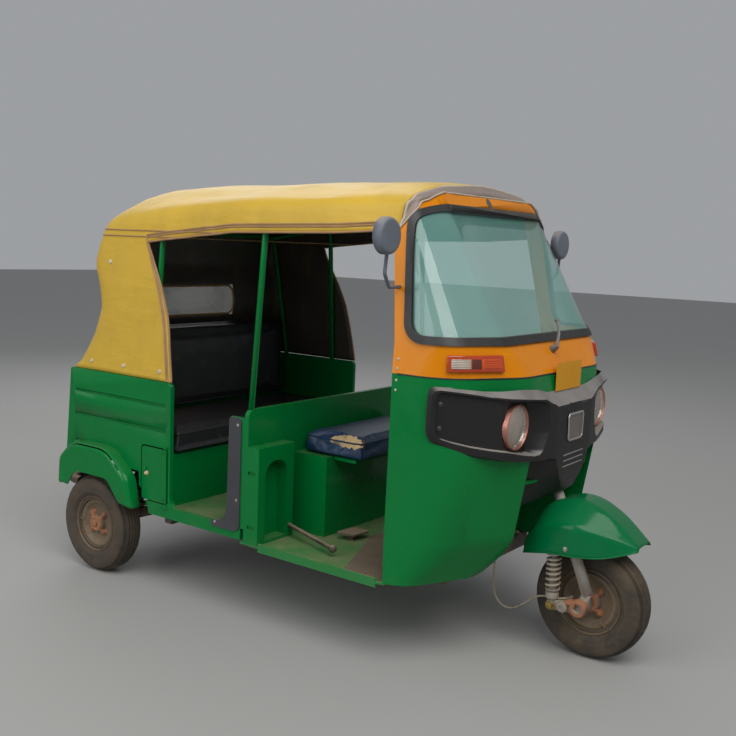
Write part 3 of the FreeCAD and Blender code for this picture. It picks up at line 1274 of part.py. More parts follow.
def canopy_frame():
    """The tubes inside the cloth: two hoops, the rear bow and a rail along each side to the front pillar."""
    parts = []
    feet = (TUB_TOP, BULKHEAD_TOP)
    for x, foot in zip(HOOPS, feet):
        corners = roof_corners(roof_row(x), TUBE_IN)
        foot_y = HOOD_LOW_HALF - CLOTH_T - TUBE_R - 3
        side_y = corners[0][0]
        inner = corners[1:6]
        route = [(x, -foot_y, foot), (x, side_y, HOOD_TOP)] + [(x, y, z) for y, z, r in inner]
        route += [(x, -side_y, HOOD_TOP), (x, foot_y, foot)]
        parts.append(bent_tube(route, TUBE_R, [400, 40, 200, ROOF_BOW_R - TUBE_IN, 200, 40, 400]))
    bow = [(x, -y, z) for x, y, z in REAR_BOW] + [(x, y, z) for x, y, z in reversed(REAR_BOW)]
    parts.append(bent_tube(bow, TUBE_R, [300, 60, 60, 300]))
    front_y, front_z = RAIL_FRONT
    rail = ROOF_RAIL + [(pillar_x(front_z) - 2 * PANEL_GAP, front_y, front_z)]
    for side in (-1, 1):
        for (xa, ya, za), (xb, yb, zb) in zip(rail, rail[1:]):
            parts.append(rod((xa, side * ya, za), (xb, side * yb, zb), TUBE_R - 2))
    below_tub = block((-300, 600), (-700, 700), (700, TUB_TOP + PANEL_GAP))
    below_bulkhead = block((600, 1000), (-700, 700), (700, BULKHEAD_TOP + PANEL_GAP))
    return fused(parts).cut(below_tub).cut(below_bulkhead)


def main():
    os.makedirs("parts", exist_ok=True)
    write_wheels()
    save("chassis_frame", chassis_frame())
    for name, side in (("left", 1), ("right", -1)):
        save("side_panel_" + name, side_panel(side))
    save("rear_suspension", Part.makeCompound([suspension(1), suspension(-1)]))
    save("rear_mudguards", Part.makeCompound([rear_mudguard(1), rear_mudguard(-1)]))
    save("drive_shafts", drive_shafts())
    save("engine_block", engine_block())
    save("silencer", silencer())
    save("access_door", access_door())
    save("rear_panel", rear_panel())
    save("engine_hatch", engine_hatch())
    save("rear_bumper", rear_bumper())
    save("tail_lamps", tail_lamps())
    save("floor_pan", floor_pan())
    save("toe_board", toe_board())
    save("floor_mat", floor_mat())
    save("foot_controls", foot_controls())
    save("bulkhead", bulkhead())
    save("door_trims", door_trims())
    seat_top = CUSHION_TOP - CUSHION_T
    save("driver_cushion", cushion((CUSHION_REAR, CUSHION_FRONT), (-CUSHION_HALF, CUSHION_HALF), (seat_top, CUSHION_TOP), 30))
    bench_low = BENCH_TOP + PANEL_GAP
    bench_x = (BENCH_CUSHION_REAR, BENCH_CUSHION_FRONT)
    save("passenger_cushion", cushion(bench_x, (-BENCH_HALF, BENCH_HALF), (bench_low, bench_low + BENCH_CUSHION_T), 30))
    save("bench_base", bench_base())
    save("seat_back_panel", seat_back_panel())
    save("passenger_backrest", seat_back_pad())
    save("front_apron", front_apron())
    save("windscreen_surround", windscreen_surround())
    save("windscreen_seal", windscreen_seal())
    save("windscreen_glass", windscreen_glass())
    save("front_fascia", front_fascia())
    save("headlamps", headlamps())
    save("indicators", indicators())
    save("front_plate", front_plate())
    save("dash_shelf", dash_shelf())
    save("wiper", wiper())
    save("mirrors", mirrors())
    save("steering_fork", steering_fork())
    save("front_spring", front_spring())
    save("front_mudguard", front_mudguard())
    save("handlebar", handlebar())
    shell = cloth_shell()
    save("canopy", canopy(shell))
    save("rear_window", rear_window())
    save("canopy_cap", front_cap(shell))
    save("canopy_frame", canopy_frame())


main()
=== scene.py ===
"""Looks of the auto rickshaw, laid out as an add-on: its wheels, paint, cloth, seats and lamps on the packed frame."""

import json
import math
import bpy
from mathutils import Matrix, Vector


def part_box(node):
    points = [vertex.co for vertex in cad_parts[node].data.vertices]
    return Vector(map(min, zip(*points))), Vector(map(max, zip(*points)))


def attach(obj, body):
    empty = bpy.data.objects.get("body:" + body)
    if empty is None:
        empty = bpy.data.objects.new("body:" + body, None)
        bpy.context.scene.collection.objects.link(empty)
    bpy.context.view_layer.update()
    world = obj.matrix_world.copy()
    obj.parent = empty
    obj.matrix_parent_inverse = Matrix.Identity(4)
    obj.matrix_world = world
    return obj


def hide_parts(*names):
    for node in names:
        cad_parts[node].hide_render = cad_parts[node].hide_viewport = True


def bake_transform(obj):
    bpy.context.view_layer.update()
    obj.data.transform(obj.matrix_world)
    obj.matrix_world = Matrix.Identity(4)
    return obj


bl_info = {
    "name": "Auto rickshaw looks",
    "version": (1, 0, 0),
    "blender": (4, 5, 0),
    "location": "View3D > Sidebar > Rickshaw",
    "description": "Builds the visible pieces and finishes of a three-wheeled auto rickshaw",
    "category": "Object",
}

import bmesh
import bpy
from bpy.props import FloatProperty, FloatVectorProperty, IntProperty, PointerProperty
from mathutils import Matrix, Vector, noise
from mathutils.bvhtree import BVHTree

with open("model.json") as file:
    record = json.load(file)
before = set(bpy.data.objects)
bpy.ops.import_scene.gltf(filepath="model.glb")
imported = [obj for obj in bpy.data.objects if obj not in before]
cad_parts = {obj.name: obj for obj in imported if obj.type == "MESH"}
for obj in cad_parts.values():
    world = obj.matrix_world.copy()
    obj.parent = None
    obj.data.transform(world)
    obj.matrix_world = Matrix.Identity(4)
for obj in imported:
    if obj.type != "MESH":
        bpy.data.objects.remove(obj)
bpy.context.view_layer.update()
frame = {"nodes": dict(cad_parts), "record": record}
NODES = frame["nodes"]
BODY_OF = {node: body for body, nodes in frame["record"]["behaviour"]["bodies"].items() for node in nodes}


# Shader maths


class Term:
    """A node's output that takes part in arithmetic: each operator adds its Math node."""

    def __init__(self, finish, socket):
        self.finish = finish
        self.socket = socket

    def _math(self, operation, left, right):
        return self.finish.node("Math", {0: left, 1: right}, operation=operation)[0]

    def __add__(self, other):
        return self._math("ADD", self, other)

    def __sub__(self, other):
        return self._math("SUBTRACT", self, other)

    def __rsub__(self, other):
        return self._math("SUBTRACT", other, self)

    def __mul__(self, other):
        return self._math("MULTIPLY", self, other)

    def ramp(self, low, high):
        """0 below low and 1 above high, with a smooth rise between them; low may be the larger."""
        ends = {0: self, 1: min(low, high), 2: max(low, high)}
        rise = self.finish.node("MapRange", ends, interpolation_type="SMOOTHSTEP")[0]
        return 1.0 - rise if low > high else rise


class Finish:
    """Builds one material. node() adds any node; the other methods are mixtures that several finishes share."""

    def __init__(self, name):
        self.material = bpy.data.materials.new(name)
        self.material.use_nodes = True
        self.tree = self.material.node_tree
        self.tree.nodes.clear()
        self.place = self.node("TexCoord")[3]
        self.z = self.node("SeparateXYZ", {0: self.place})[2]
        self.up = self.node("SeparateXYZ", {0: self.node("NewGeometry")[1]})[2]

    def node(self, kind, sockets=None, **settings):
        """Adds a shader node, sets it up, fills its sockets with values or links, and returns its outputs."""
        made = self.tree.nodes.new("ShaderNode" + kind)
        for key, value in settings.items():
            setattr(made, key, value)
        for key, value in (sockets or {}).items():
            if isinstance(value, Term):
                self.tree.links.new(value.socket, made.inputs[key])
            else:
                made.inputs[key].default_value = value
        return [Term(self, socket) for socket in made.outputs]

    def noise(self, scale, detail=3.0, roughness=0.55, stretch=None):
        where = self.node("Mapping", {0: self.place, 3: stretch})[0] if stretch else self.place
        return self.node("TexNoise", {"Vector": where, "Scale": scale, "Detail": detail, "Roughness": roughness})[0]

    def bands(self, direction, scale, distortion=0.0):
        """Straight waves along one axis."""
        sockets = {"Vector": self.place, "Scale": scale, "Distortion": distortion}
        return self.node("TexWave", sockets, wave_type="BANDS", bands_direction=direction)[1]

    def mix(self, first, second, share):
        """A colour between two colours."""
        return self.node("Mix", {0: share, 6: first, 7: second}, data_type="RGBA")[2]

    def tones(self, colour, dark, light, *noise):
        """A colour that wanders between a darker and a lighter tone of itself."""
        return self.mix(shaded(colour, dark), shaded(colour, light), self.noise(*noise))

    def dusted(self, colour, rough, amount, reach):
        """Road dust: thick low down and on faces that look up, broken up by noise. Returns colour and roughness."""
        patches = self.noise(7.0, 6.0) * 0.7 + self.noise(38.0, 4.0) * 0.3
        cover = self.z.ramp(reach, 0.12) * 0.55 + self.up.ramp(0.35, 0.95) * 0.4
        mask = (cover + patches - 0.5).ramp(0.12, 0.75) * amount
        return self.mix(colour, shaded(paint().dust, 1.0), mask), mask * (0.9 - rough) + rough

    def close(self, colour, rough, height=None, depth=0.0, strength=0.0, **sockets):
        """Adds the bump, the Principled shader and the output. Further sockets go by name, with _ for a space."""
        named = {"Base Color": colour, "Roughness": rough}
        if height is not None:
            named["Normal"] = self.node("Bump", {"Height": height, "Distance": depth, "Strength": strength})[0]
        named.update((key.replace("_", " "), value) for key, value in sockets.items())
        shader = self.node("BsdfPrincipled", named)
        self.node("OutputMaterial", {0: shader[0]})
        return self.material


def shaded(colour, share):
    """A colour made darker or lighter, with its alpha of 1."""
    return (*[min(1.0, c * share) for c in colour[:3]], 1.0)


# Meshes


def unique(items):
    return list(dict.fromkeys(items))


def mesh_of(name, bm):
    """The mesh of a bmesh, which is freed."""
    mesh = bpy.data.meshes.new(name)
    bm.to_mesh(mesh)
    bm.free()
    return mesh


def linked(name, data):
    """A new object in the scene."""
    made = bpy.data.objects.new(name, data)
    bpy.context.scene.collection.objects.link(made)
    return made


def piece(name, bm, body, looks, stands_for=(), smooth=35.0):
    """Turns a bmesh into a piece that rides on a body, with its finish or finishes, and hides the packed parts that it
    stands for.
    """
    mesh = mesh_of(name, bm)
    made = linked(name, mesh)
    for one in (looks,) if isinstance(looks, str) else looks:
        mesh.materials.append(look(one))
    mesh.shade_smooth()
    mesh.set_sharp_from_angle(angle=math.radians(smooth))
    if body:
        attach(made, body)
    for node in stands_for:
        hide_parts(node)
    return made


def baked(made):
    """Applies an object's modifiers to its mesh."""
    bpy.context.view_layer.update()
    graph = bpy.context.evaluated_depsgraph_get()
    mesh = bpy.data.meshes.new_from_object(made.evaluated_get(graph))
    made.modifiers.clear()
    made.data = mesh


def modified(made, kind, **settings):
    """Adds a modifier with its settings and applies it."""
    modifier = made.modifiers.new(kind, kind)
    for key, value in settings.items():
        setattr(modifier, key, value)
    baked(made)


def corners_of(node):
    """The two corners of a CAD node's box."""
    return [Vector(corner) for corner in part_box(node)]


def middle_of(node):
    low, high = corners_of(node)
    return (low + high) / 2


def heading(degrees):
    """The level direction that many degrees from +X towards +Y."""
    turn = math.radians(degrees)
    return Vector((math.cos(turn), math.sin(turn), 0))


def turned_outwards(bm, measure):
    """Turns all faces over when a measure of theirs, weighted by their area, comes out below zero."""
    if sum(measure(f) * f.calc_area() for f in bm.faces) < 0:
        bmesh.ops.reverse_faces(bm, faces=bm.faces)


def copy_of(node):
    """A bmesh copy of a CAD node with its loose triangles merged."""
    bm = bmesh.new()
    bm.from_mesh(NODES[node].data)
    bmesh.ops.remove_doubles(bm, verts=bm.verts, dist=1e-5)
    return bm


def skin_of(*nodes):
    """A tree for finding points on CAD nodes."""
    bm = bmesh.new()
    for node in nodes:
        bm.from_mesh(NODES[node].data)
    tree = BVHTree.FromBMesh(bm)
    bm.free()
    return tree


def on_skin(tree, start, way, proud=0.0):
    """Where a ray from start meets the skin, moved outwards by proud, and the skin's normal there."""
    spot, normal, _, _ = tree.ray_cast(Vector(start), Vector(way).normalized())
    if spot is None:
        raise ValueError("a ray misses the skin")
    if normal.dot(Vector(way)) > 0:
        normal = -normal
    return spot + normal * proud, normal


ARC_STEPS = 8


def rounded(corners, step=0.02):
    """Points along a polyline whose corners (a, b, radius) are turned into arcs, evenly spaced."""
    line = []
    for i, (a, b, radius) in enumerate(corners):
        here = Vector((a, b))
        if radius <= 0 or i in (0, len(corners) - 1):
            line.append(here)
            continue
        before = (Vector(corners[i - 1][:2]) - here).normalized()
        after = (Vector(corners[i + 1][:2]) - here).normalized()
        half = before.angle(after) / 2
        reach = radius / math.tan(half)
        centre = here + (before + after).normalized() * radius / math.sin(half)
        first, last = here + before * reach - centre, here + after * reach - centre
        turn = first.angle_signed(last)
        for k in range(ARC_STEPS + 1):
            line.append(centre + Matrix.Rotation(-turn * k / ARC_STEPS, 2) @ first)
    return evenly(line, step)


def evenly(line, step=0.02, count=None):
    """The same line with points a step apart, or that many steps, its ends kept."""
    lengths = [0.0]
    for a, b in zip(line, line[1:]):
        lengths.append(lengths[-1] + (b - a).length)
    count = count or max(2, round(lengths[-1] / step))
    points, i = [], 0
    for k in range(count + 1):
        at = lengths[-1] * k / count
        while i < len(line) - 2 and lengths[i + 1] < at:
            i += 1
        span = lengths[i + 1] - lengths[i]
        points.append(line[i].lerp(line[i + 1], (at - lengths[i]) / span if span > 1e-9 else 0.0))
    return points


def lathe(bm, profile, centre, axis, steps=64, start=(0, 0, 1)):
    """Spins a profile of (radius, along) points about an axis through a point."""
    axis, out, centre = Vector(axis).normalized(), Vector(start), Vector(centre)
    verts = [bm.verts.new(centre + out * r + axis * a) for r, a in profile]
    edges = [bm.edges.new(pair) for pair in zip(verts, verts[1:])]
    bmesh.ops.spin(bm, geom=verts + edges, cent=centre, axis=axis, angle=math.tau, steps=steps, use_merge=True)
    bmesh.ops.remove_doubles(bm, verts=bm.verts, dist=1e-6)
    bmesh.ops.recalc_face_normals(bm, faces=bm.faces)


def closed_lathe(bm, profile, centre, axis, steps, start=(0, 0, 1)):
    """Spins a closed profile of (radius, along) points into a ring."""
    lathe(bm, [*profile, profile[0]], centre, axis, steps, start)


def sweep(bm, line, radius, sides=8, closed=False, flat=1.0, hint=(0, 0, 1)):
    """Extrudes a ring of vertices along a line. flat squashes it across the hint's side."""
    line = [Vector(p) for p in line]
    count = len(line)
    rings, fresh = [], []
    normal = None
    for i, here in enumerate(line):
        if closed:
            ahead = line[(i + 1) % count] - line[i - 1]
        else:
            ahead = line[min(i + 1, count - 1)] - line[max(i - 1, 0)]
        ahead.normalize()
        if normal is None:
            normal = ahead.cross(Vector(hint)).normalized()
        normal = (normal - ahead * normal.dot(ahead)).normalized()
        side = ahead.cross(normal)
        r = radius[i] if isinstance(radius, (list, tuple)) else radius
        frame_at = Matrix((normal * r, side * r * flat, ahead)).transposed().to_4x4()
        frame_at.translation = here
        ring = bmesh.ops.create_circle(bm, segments=sides, radius=1.0, matrix=frame_at)["verts"]
        rings.append(ring)
        fresh += ring
    pairs = list(zip(rings, rings[1:])) + ([(rings[-1], rings[0])] if closed else [])
    for a, b in pairs:
        edges = [e for v in a for e in v.link_edges if e.other_vert(v) in a]
        edges += [e for v in b for e in v.link_edges if e.other_vert(v) in b]
        bmesh.ops.bridge_loops(bm, edges=unique(edges))
    if not closed:
        for ring in (rings[0], rings[-1]):
            bmesh.ops.contextual_create(bm, geom=ring)
    bmesh.ops.recalc_face_normals(bm, faces=unique(f for v in fresh for f in v.link_faces))


def box(bm, low, high, bevel=0.0, segments=2):
    """A box between two corners with bevelled edges."""
    low, high = Vector(low), Vector(high)
    verts = bmesh.ops.create_cube(bm, size=1.0)["verts"]
    bmesh.ops.scale(bm, vec=high - low, verts=verts)
    bmesh.ops.translate(bm, vec=(high + low) / 2, verts=verts)
    if bevel:
        bevelled(bm, unique(e for v in verts for e in v.link_edges), bevel, segments)


def bevelled(bm, edges, width, segments=2, clamp=False):
    bmesh.ops.bevel(bm, geom=edges, offset=width, segments=segments, profile=0.5, affect="EDGES", material=-1,
                    clamp_overlap=clamp)


def placed(normal, spot, up=(0, 0, 1)):
    """A matrix whose Z looks along a normal and whose Y is as near as it can be to up."""
    ahead = Vector(normal).normalized()
    side = Vector(up).cross(ahead).normalized()
    made = Matrix((side, ahead.cross(side), ahead)).transposed().to_4x4()
    made.translation = spot
    return made


# Settings


def colour_setting(name, description, default):
    return FloatVectorProperty(
        name=name, description=description, subtype="COLOR", size=3, min=0.0, max=1.0, default=default
    )


def share_setting(name, description, default):
    return FloatProperty(name=name, description=description, min=0.0, max=1.0, default=default, subtype="FACTOR")


def length_setting(name, description, default, top=0.5):
    return FloatProperty(
        name=name, description=description, min=0.0, max=top, default=default, unit="LENGTH", precision=4
    )


class RICKSHAW_PG_paint(bpy.types.PropertyGroup):
    """Colours of the enamel and how much wear it shows."""

    green: colour_setting("Green", "Enamel of the tub, apron and mudguards", (0.0, 0.17, 0.034))
    yellow: colour_setting("Yellow", "Enamel of the windscreen's surround", (0.7, 0.225, 0.0))
    chassis: colour_setting("Chassis", "Paint of the frame and bumper", (0.018, 0.018, 0.02))
    wheel: colour_setting("Wheels", "Paint of the pressed wheels", (0.17, 0.125, 0.078))
    dust: colour_setting("Dust", "Road dust and dried mud", (0.3, 0.22, 0.14))
    dustiness: share_setting("Dust amount", "How much dust lies on the paint", 0.16)


class RICKSHAW_PG_cloth(bpy.types.PropertyGroup):
    """Colours and sizes of the roof's cloth."""

    canopy: colour_setting("Canopy", "Mustard coated cloth", (0.6, 0.38, 0.022))
    cap: colour_setting("Cap", "Faded cloth over the header", (0.26, 0.205, 0.175))
    piping: colour_setting("Piping", "Piping along the canopy's seams", (0.3, 0.17, 0.075))
    sheet: length_setting("Cloth thickness", "Thickness of the coated cloth", 0.003, 0.01)
    cord_radius: length_setting("Piping radius", "Radius of the piping", 0.0036, 0.01)
    sag: length_setting("Sag", "How far the roof sags between its hoops", 0.007, 0.02)


class RICKSHAW_PG_tyres(bpy.types.PropertyGroup):
    """Tread of the tyres."""

    rubber: colour_setting("Rubber", "Tyre rubber under its dust", (0.02, 0.018, 0.016))
    groove: length_setting("Groove depth", "Depth of the grooves round the tread", 0.006, 0.02)
    sipes: IntProperty(name="Shoulder cuts", description="Cuts round each shoulder", default=168, min=24, max=240)


class RICKSHAW_PG_seats(bpy.types.PropertyGroup):
    """Cushions of the driver and the passengers."""

    navy: colour_setting("Driver's vinyl", "Vinyl of the driver's cushion", (0.006, 0.022, 0.06))
    black: colour_setting("Bench vinyl", "Vinyl of the bench and its back", (0.014, 0.014, 0.017))
    foam: colour_setting("Foam", "Foam that the torn vinyl shows", (0.5, 0.36, 0.18))
    puff: length_setting("Puff", "The most that a cushion swells", 0.014, 0.05)
    pressure: FloatProperty(name="Pressure", description="Air pressure in the cushions", default=4.0, min=0.0, max=20.0)


class RICKSHAW_PG_studio(bpy.types.PropertyGroup):
    """Light and camera."""

    floor: colour_setting("Floor", "Plain grey floor", (0.36, 0.355, 0.345))
    sky: FloatProperty(name="Sky", description="Strength of the light from all round", default=0.36, min=0.0, max=5.0)
    key: FloatProperty(name="Key light", description="Power of the large lamp", default=270.0, min=0.0, subtype="POWER")
    lens: FloatProperty(name="Lens", description="Focal length in mm", default=46.5, min=10.0, max=200.0)


# Finishes


CHIPPED = (0.16, 0.13, 0.11, 1.0)
RUST = (0.19, 0.065, 0.022, 1.0)
WHEEL_RUST = (0.2, 0.075, 0.028, 1.0)
WHEEL_GRIME = (0.1, 0.075, 0.05, 1.0)
CAKED_DUST = (0.09, 0.075, 0.065, 1.0)
GREYED = (0.13, 0.125, 0.12, 1.0)
# Grey of sun-bleached plastic, which also serves as a painted sheen on faces that look up
BLEACHED_AND_SHEEN = (0.26, 0.245, 0.235, 1.0)
CLOTH_STAIN = (0.3, 0.19, 0.06, 1.0)
CLOTH_SPECK = (0.2, 0.13, 0.07, 1.0)
SCUFFED = (0.16, 0.14, 0.12, 1.0)
GLASS_FILM = (0.55, 0.52, 0.46, 1.0)
MIRROR_DUST = (0.5, 0.47, 0.42, 1.0)
OIL = (0.02, 0.017, 0.014, 1.0)
WEAVE = 1500.0
MADE = {}


def look(name):
    """The finish of that name in LOOKS, built the first time that it is asked for."""
    if name not in MADE:
        builder, colour, *settings = LOOKS[name]
        if isinstance(colour, str):
            group, key = colour.split(".")
            colour = getattr(getattr(bpy.context.scene, "rickshaw_" + group), key)
        MADE[name] = builder(Finish(name), colour, *settings)
    return MADE[name]


def paint():
    return bpy.context.scene.rickshaw_paint


def enamel(f, colour, reach=0.75, gloss=0.22, dust=1.0):
    """Glossy enamel with faint waves, fine scratches, small chips and road dust."""
    tone = f.tones(colour, 0.8, 1.14, 2.2, 4.0)
    streaks = f.noise(26.0, 5.0, stretch=(1, 1, 0.12))
    tone = f.mix(tone, shaded(colour, 0.62), streaks.ramp(0.6, 0.86) * 0.3)
    chips = f.noise(55.0, 6.0).ramp(0.74, 0.78) * f.noise(3.1, 2.0).ramp(0.52, 0.66)
    tone = f.mix(tone, CHIPPED, chips * 0.7)
    scratch = f.noise(9.0, 2.0, stretch=(0.6, 0.6, 14.0)).ramp(0.7, 0.74) * f.noise(5.0, 3.0).ramp(0.5, 0.62)
    tone = f.mix(tone, shaded(colour, 1.7), scratch * 0.35)
    rough = f.noise(14.0, 5.0).ramp(0.3, 0.8) * 0.2 + gloss + chips * 0.4
    tone, rough = f.dusted(tone, rough, paint().dustiness * dust, reach)
    waves = f.noise(3.4, 2.0) * 0.8 + f.noise(700.0, 2.0) * 0.012 - chips * 0.05
    return f.close(tone, rough, waves, 0.004, 0.55, Specular_IOR_Level=0.16, Coat_Weight=0.12, Coat_Roughness=0.06)


def dull_paint(f, colour, rust=0.35, reach=0.6, gloss=0.5):
    """Plain paint on tube and castings, dusty, with rust coming through."""
    tone = f.tones(colour, 0.75, 1.35, 11.0, 5.0)
    spots = f.noise(24.0, 8.0, 0.7).ramp(0.56, 0.68) * rust
    tone = f.mix(tone, RUST, spots)
    tone, rough = f.dusted(tone, f.noise(30.0, 4.0) * 0.25 + gloss, 0.75, reach)
    return f.close(tone, rough, f.noise(130.0, 5.0) * 0.5 + spots, 0.0012, 0.6, Metallic=0.15)


def cast_iron(f, colour):
    """A rough casting with orange rust and caked dust."""
    tone = f.tones(colour, 0.55, 1.5, 32.0, 8.0, 0.7)
    tone = f.mix(tone, CAKED_DUST, f.noise(14.0, 4.0).ramp(0.52, 0.68) * 0.8)
    return f.close(tone, 0.82, f.noise(170.0, 6.0), 0.0016, 0.9, Metallic=0.1)


def rubber(f, colour, rough=0.5):
    """Moulded rubber that has greyed in the sun."""
    tone = f.tones(colour, 0.7, 1.6, 17.0, 5.0)
    grey = f.noise(5.0, 5.0).ramp(0.45, 0.75) * 0.16
    tone = f.mix(tone, GREYED, grey * 0.6)
    tone, dull = f.dusted(tone, f.noise(22.0, 3.0) * 0.2 + rough, 0.35, 0.5)
    return f.close(tone, dull, f.noise(260.0, 4.0), 0.0005, 0.5)


def plastic(f, colour, rough=0.42, bleach_and_sheen_amount=0.3):
    """Moulded plastic with a fine grain, greyed on faces that look up, partly by sun-bleaching and partly as a painted
    sheen.
    """
    tone = f.tones(colour, 0.8, 1.3, 8.0, 4.0)
    # Faces that look up go a lighter grey: partly sun-bleaching, partly a painted sheen of the sky
    bleach_and_sheen = (f.up.ramp(0.15, 0.8) * 0.75 + f.noise(12.0, 5.0) * 0.5).ramp(0.45, 1.0) * bleach_and_sheen_amount
    tone = f.mix(tone, BLEACHED_AND_SHEEN, bleach_and_sheen)
    tone, dull = f.dusted(tone, f.noise(40.0, 4.0) * 0.16 + rough + bleach_and_sheen * 0.2, 0.3, 0.5)
    return f.close(tone, dull, f.noise(900.0, 2.0), 0.0002, 0.5, Specular_IOR_Level=0.35)


def tyre_rubber(f, colour):
    """Tyre rubber under brown dust that is thicker in patches."""
    tone = f.tones(colour, 0.8, 2.0, 20.0, 6.0)
    caked = (f.noise(6.0, 7.0, 0.65) * 0.8 + f.noise(60.0, 5.0) * 0.3).ramp(0.3, 0.72)
    tone = f.mix(tone, shaded(paint().dust, 0.34), caked * 0.85)
    pale = f.noise(3.0, 5.0).ramp(0.5, 0.75) * caked
    tone = f.mix(tone, shaded(paint().dust, 0.62), pale * 0.55)
    relief = f.noise(140.0, 5.0) * 0.6 + f.noise(600.0, 2.0) * 0.3
    return f.close(tone, caked * 0.12 + 0.78, relief, 0.001, 0.55)


def wheel_paint(f, colour):
    """Beige wheel paint under brown dust, with spots of rust."""
    tone = f.tones(colour, 0.7, 1.35, 9.0, 6.0)
    rust = f.noise(30.0, 7.0, 0.7).ramp(0.52, 0.66)
    tone = f.mix(tone, WHEEL_RUST, rust * 0.55)
    tone = f.mix(tone, WHEEL_GRIME, f.noise(5.0, 6.0).ramp(0.35, 0.7) * 0.45)
    return f.close(tone, rust * 0.2 + 0.62, f.noise(150.0, 5.0), 0.001, 0.6, Metallic=0.1)


def canopy_cloth(f, colour, dirt=0.5):
    """Coated cloth: a fine weave, soft creases, stains and specks."""
    tone = f.tones(colour, 0.8, 1.16, 2.6, 5.0)
    stains = f.noise(7.5, 7.0, 0.62, (1, 1, 0.35)).ramp(0.5, 0.8) * dirt
    tone = f.mix(tone, CLOTH_STAIN, stains * 0.5)
    tone = f.mix(tone, CLOTH_SPECK, f.noise(75.0, 5.0).ramp(0.66, 0.74) * dirt * 0.5)
    creases = f.noise(11.0, 4.0, stretch=(0.35, 1, 1)).ramp(0.42, 0.62) * 0.6 + f.noise(30.0, 5.0) * 0.22
    relief = creases + f.bands("X", WEAVE, 0.3) * f.bands("Y", WEAVE, 0.3) * 0.05
    return f.close(tone, stains * 0.15 + 0.46, relief, 0.003, 0.6, Sheen_Weight=0.06, Coat_Weight=0.04)


def vinyl(f, colour):
    """Seat vinyl with a pebbled grain, scuffs and dust in its creases."""
    cells = f.node("TexVoronoi", {"Vector": f.place, "Scale": 420.0}, feature="DISTANCE_TO_EDGE")[0]
    scuffs = f.noise(26.0, 6.0).ramp(0.58, 0.74) * 0.22
    tone = f.mix(f.tones(colour, 0.8, 1.6, 9.0, 5.0), SCUFFED, scuffs)
    tone, dull = f.dusted(tone, scuffs * 0.4 + 0.36, 0.1, 0.3)
    return f.close(tone, dull, cells.ramp(0.0, 0.12) * 0.25 + f.noise(30.0, 4.0) * 0.3, 0.0012, 0.5)


def clear_glass(f, colour, alpha, rough=0.04, grime=0.25):
    """A thin pane seen through its own tint, with dust and wiped streaks."""
    film = f.noise(4.5, 6.0, stretch=(1, 1, 0.5)).ramp(0.42, 0.8) * grime
    tone = f.mix(shaded(colour, 1.0), GLASS_FILM, film * 0.6)
    return f.close(tone, film * 0.3 + rough, Alpha=film * 0.35 + alpha, Coat_Weight=1.0, Coat_Roughness=0.02)


def lens(f, colour, alpha=0.85, ribs=0.0):
    """Moulded lens plastic with fine ribs."""
    tone = f.tones(colour, 0.75, 1.25, 30.0, 4.0)
    relief = f.bands("Z", 60.0) * ribs + f.noise(60.0, 3.0) * 0.05
    return f.close(tone, f.noise(20.0, 3.0) * 0.15 + 0.1, relief, 0.0012, 0.7, Alpha=alpha, Coat_Weight=0.6)


def bright_metal(f, colour, rough=0.28):
    """Plated or bare metal with haze and pits."""
    tone = f.tones(colour, 0.6, 1.1, 25.0, 6.0)
    haze = f.noise(60.0, 6.0).ramp(0.4, 0.75)
    return f.close(tone, haze * 0.3 + rough, haze, 0.0003, 0.4, Metallic=0.9)


def oily_casting(f, colour):
    """Cast aluminium that oil and dust have darkened."""
    tone = f.mix(f.tones(colour, 0.45, 1.0, 8.0, 6.0), OIL, f.noise(5.0, 5.0).ramp(0.45, 0.7) * 0.8)
    return f.close(tone, 0.6, f.bands("Z", 18.0) + f.noise(90.0, 5.0) * 0.3, 0.004, 0.7, Metallic=0.5)


def floor_rubber(f, colour):
    """A ribbed mat with sandy dust between its ribs."""
    ribs = f.bands("X", 22.0)
    tone = f.tones(colour, 0.6, 1.5, 14.0, 6.0)
    tone = f.mix(tone, shaded(paint().dust, 0.9), ribs.ramp(0.55, 0.1) * 0.5)
    return f.close(tone, 0.85, ribs + f.noise(120.0, 4.0) * 0.2, 0.0022, 0.8)


def mirror_face(f, colour):
    """Silvered glass with a little dust."""
    dust = f.noise(40.0, 6.0).ramp(0.5, 0.8)
    return f.close(f.mix(shaded(colour, 1.0), MIRROR_DUST, dust * 0.4), dust * 0.2 + 0.03, Metallic=1.0)


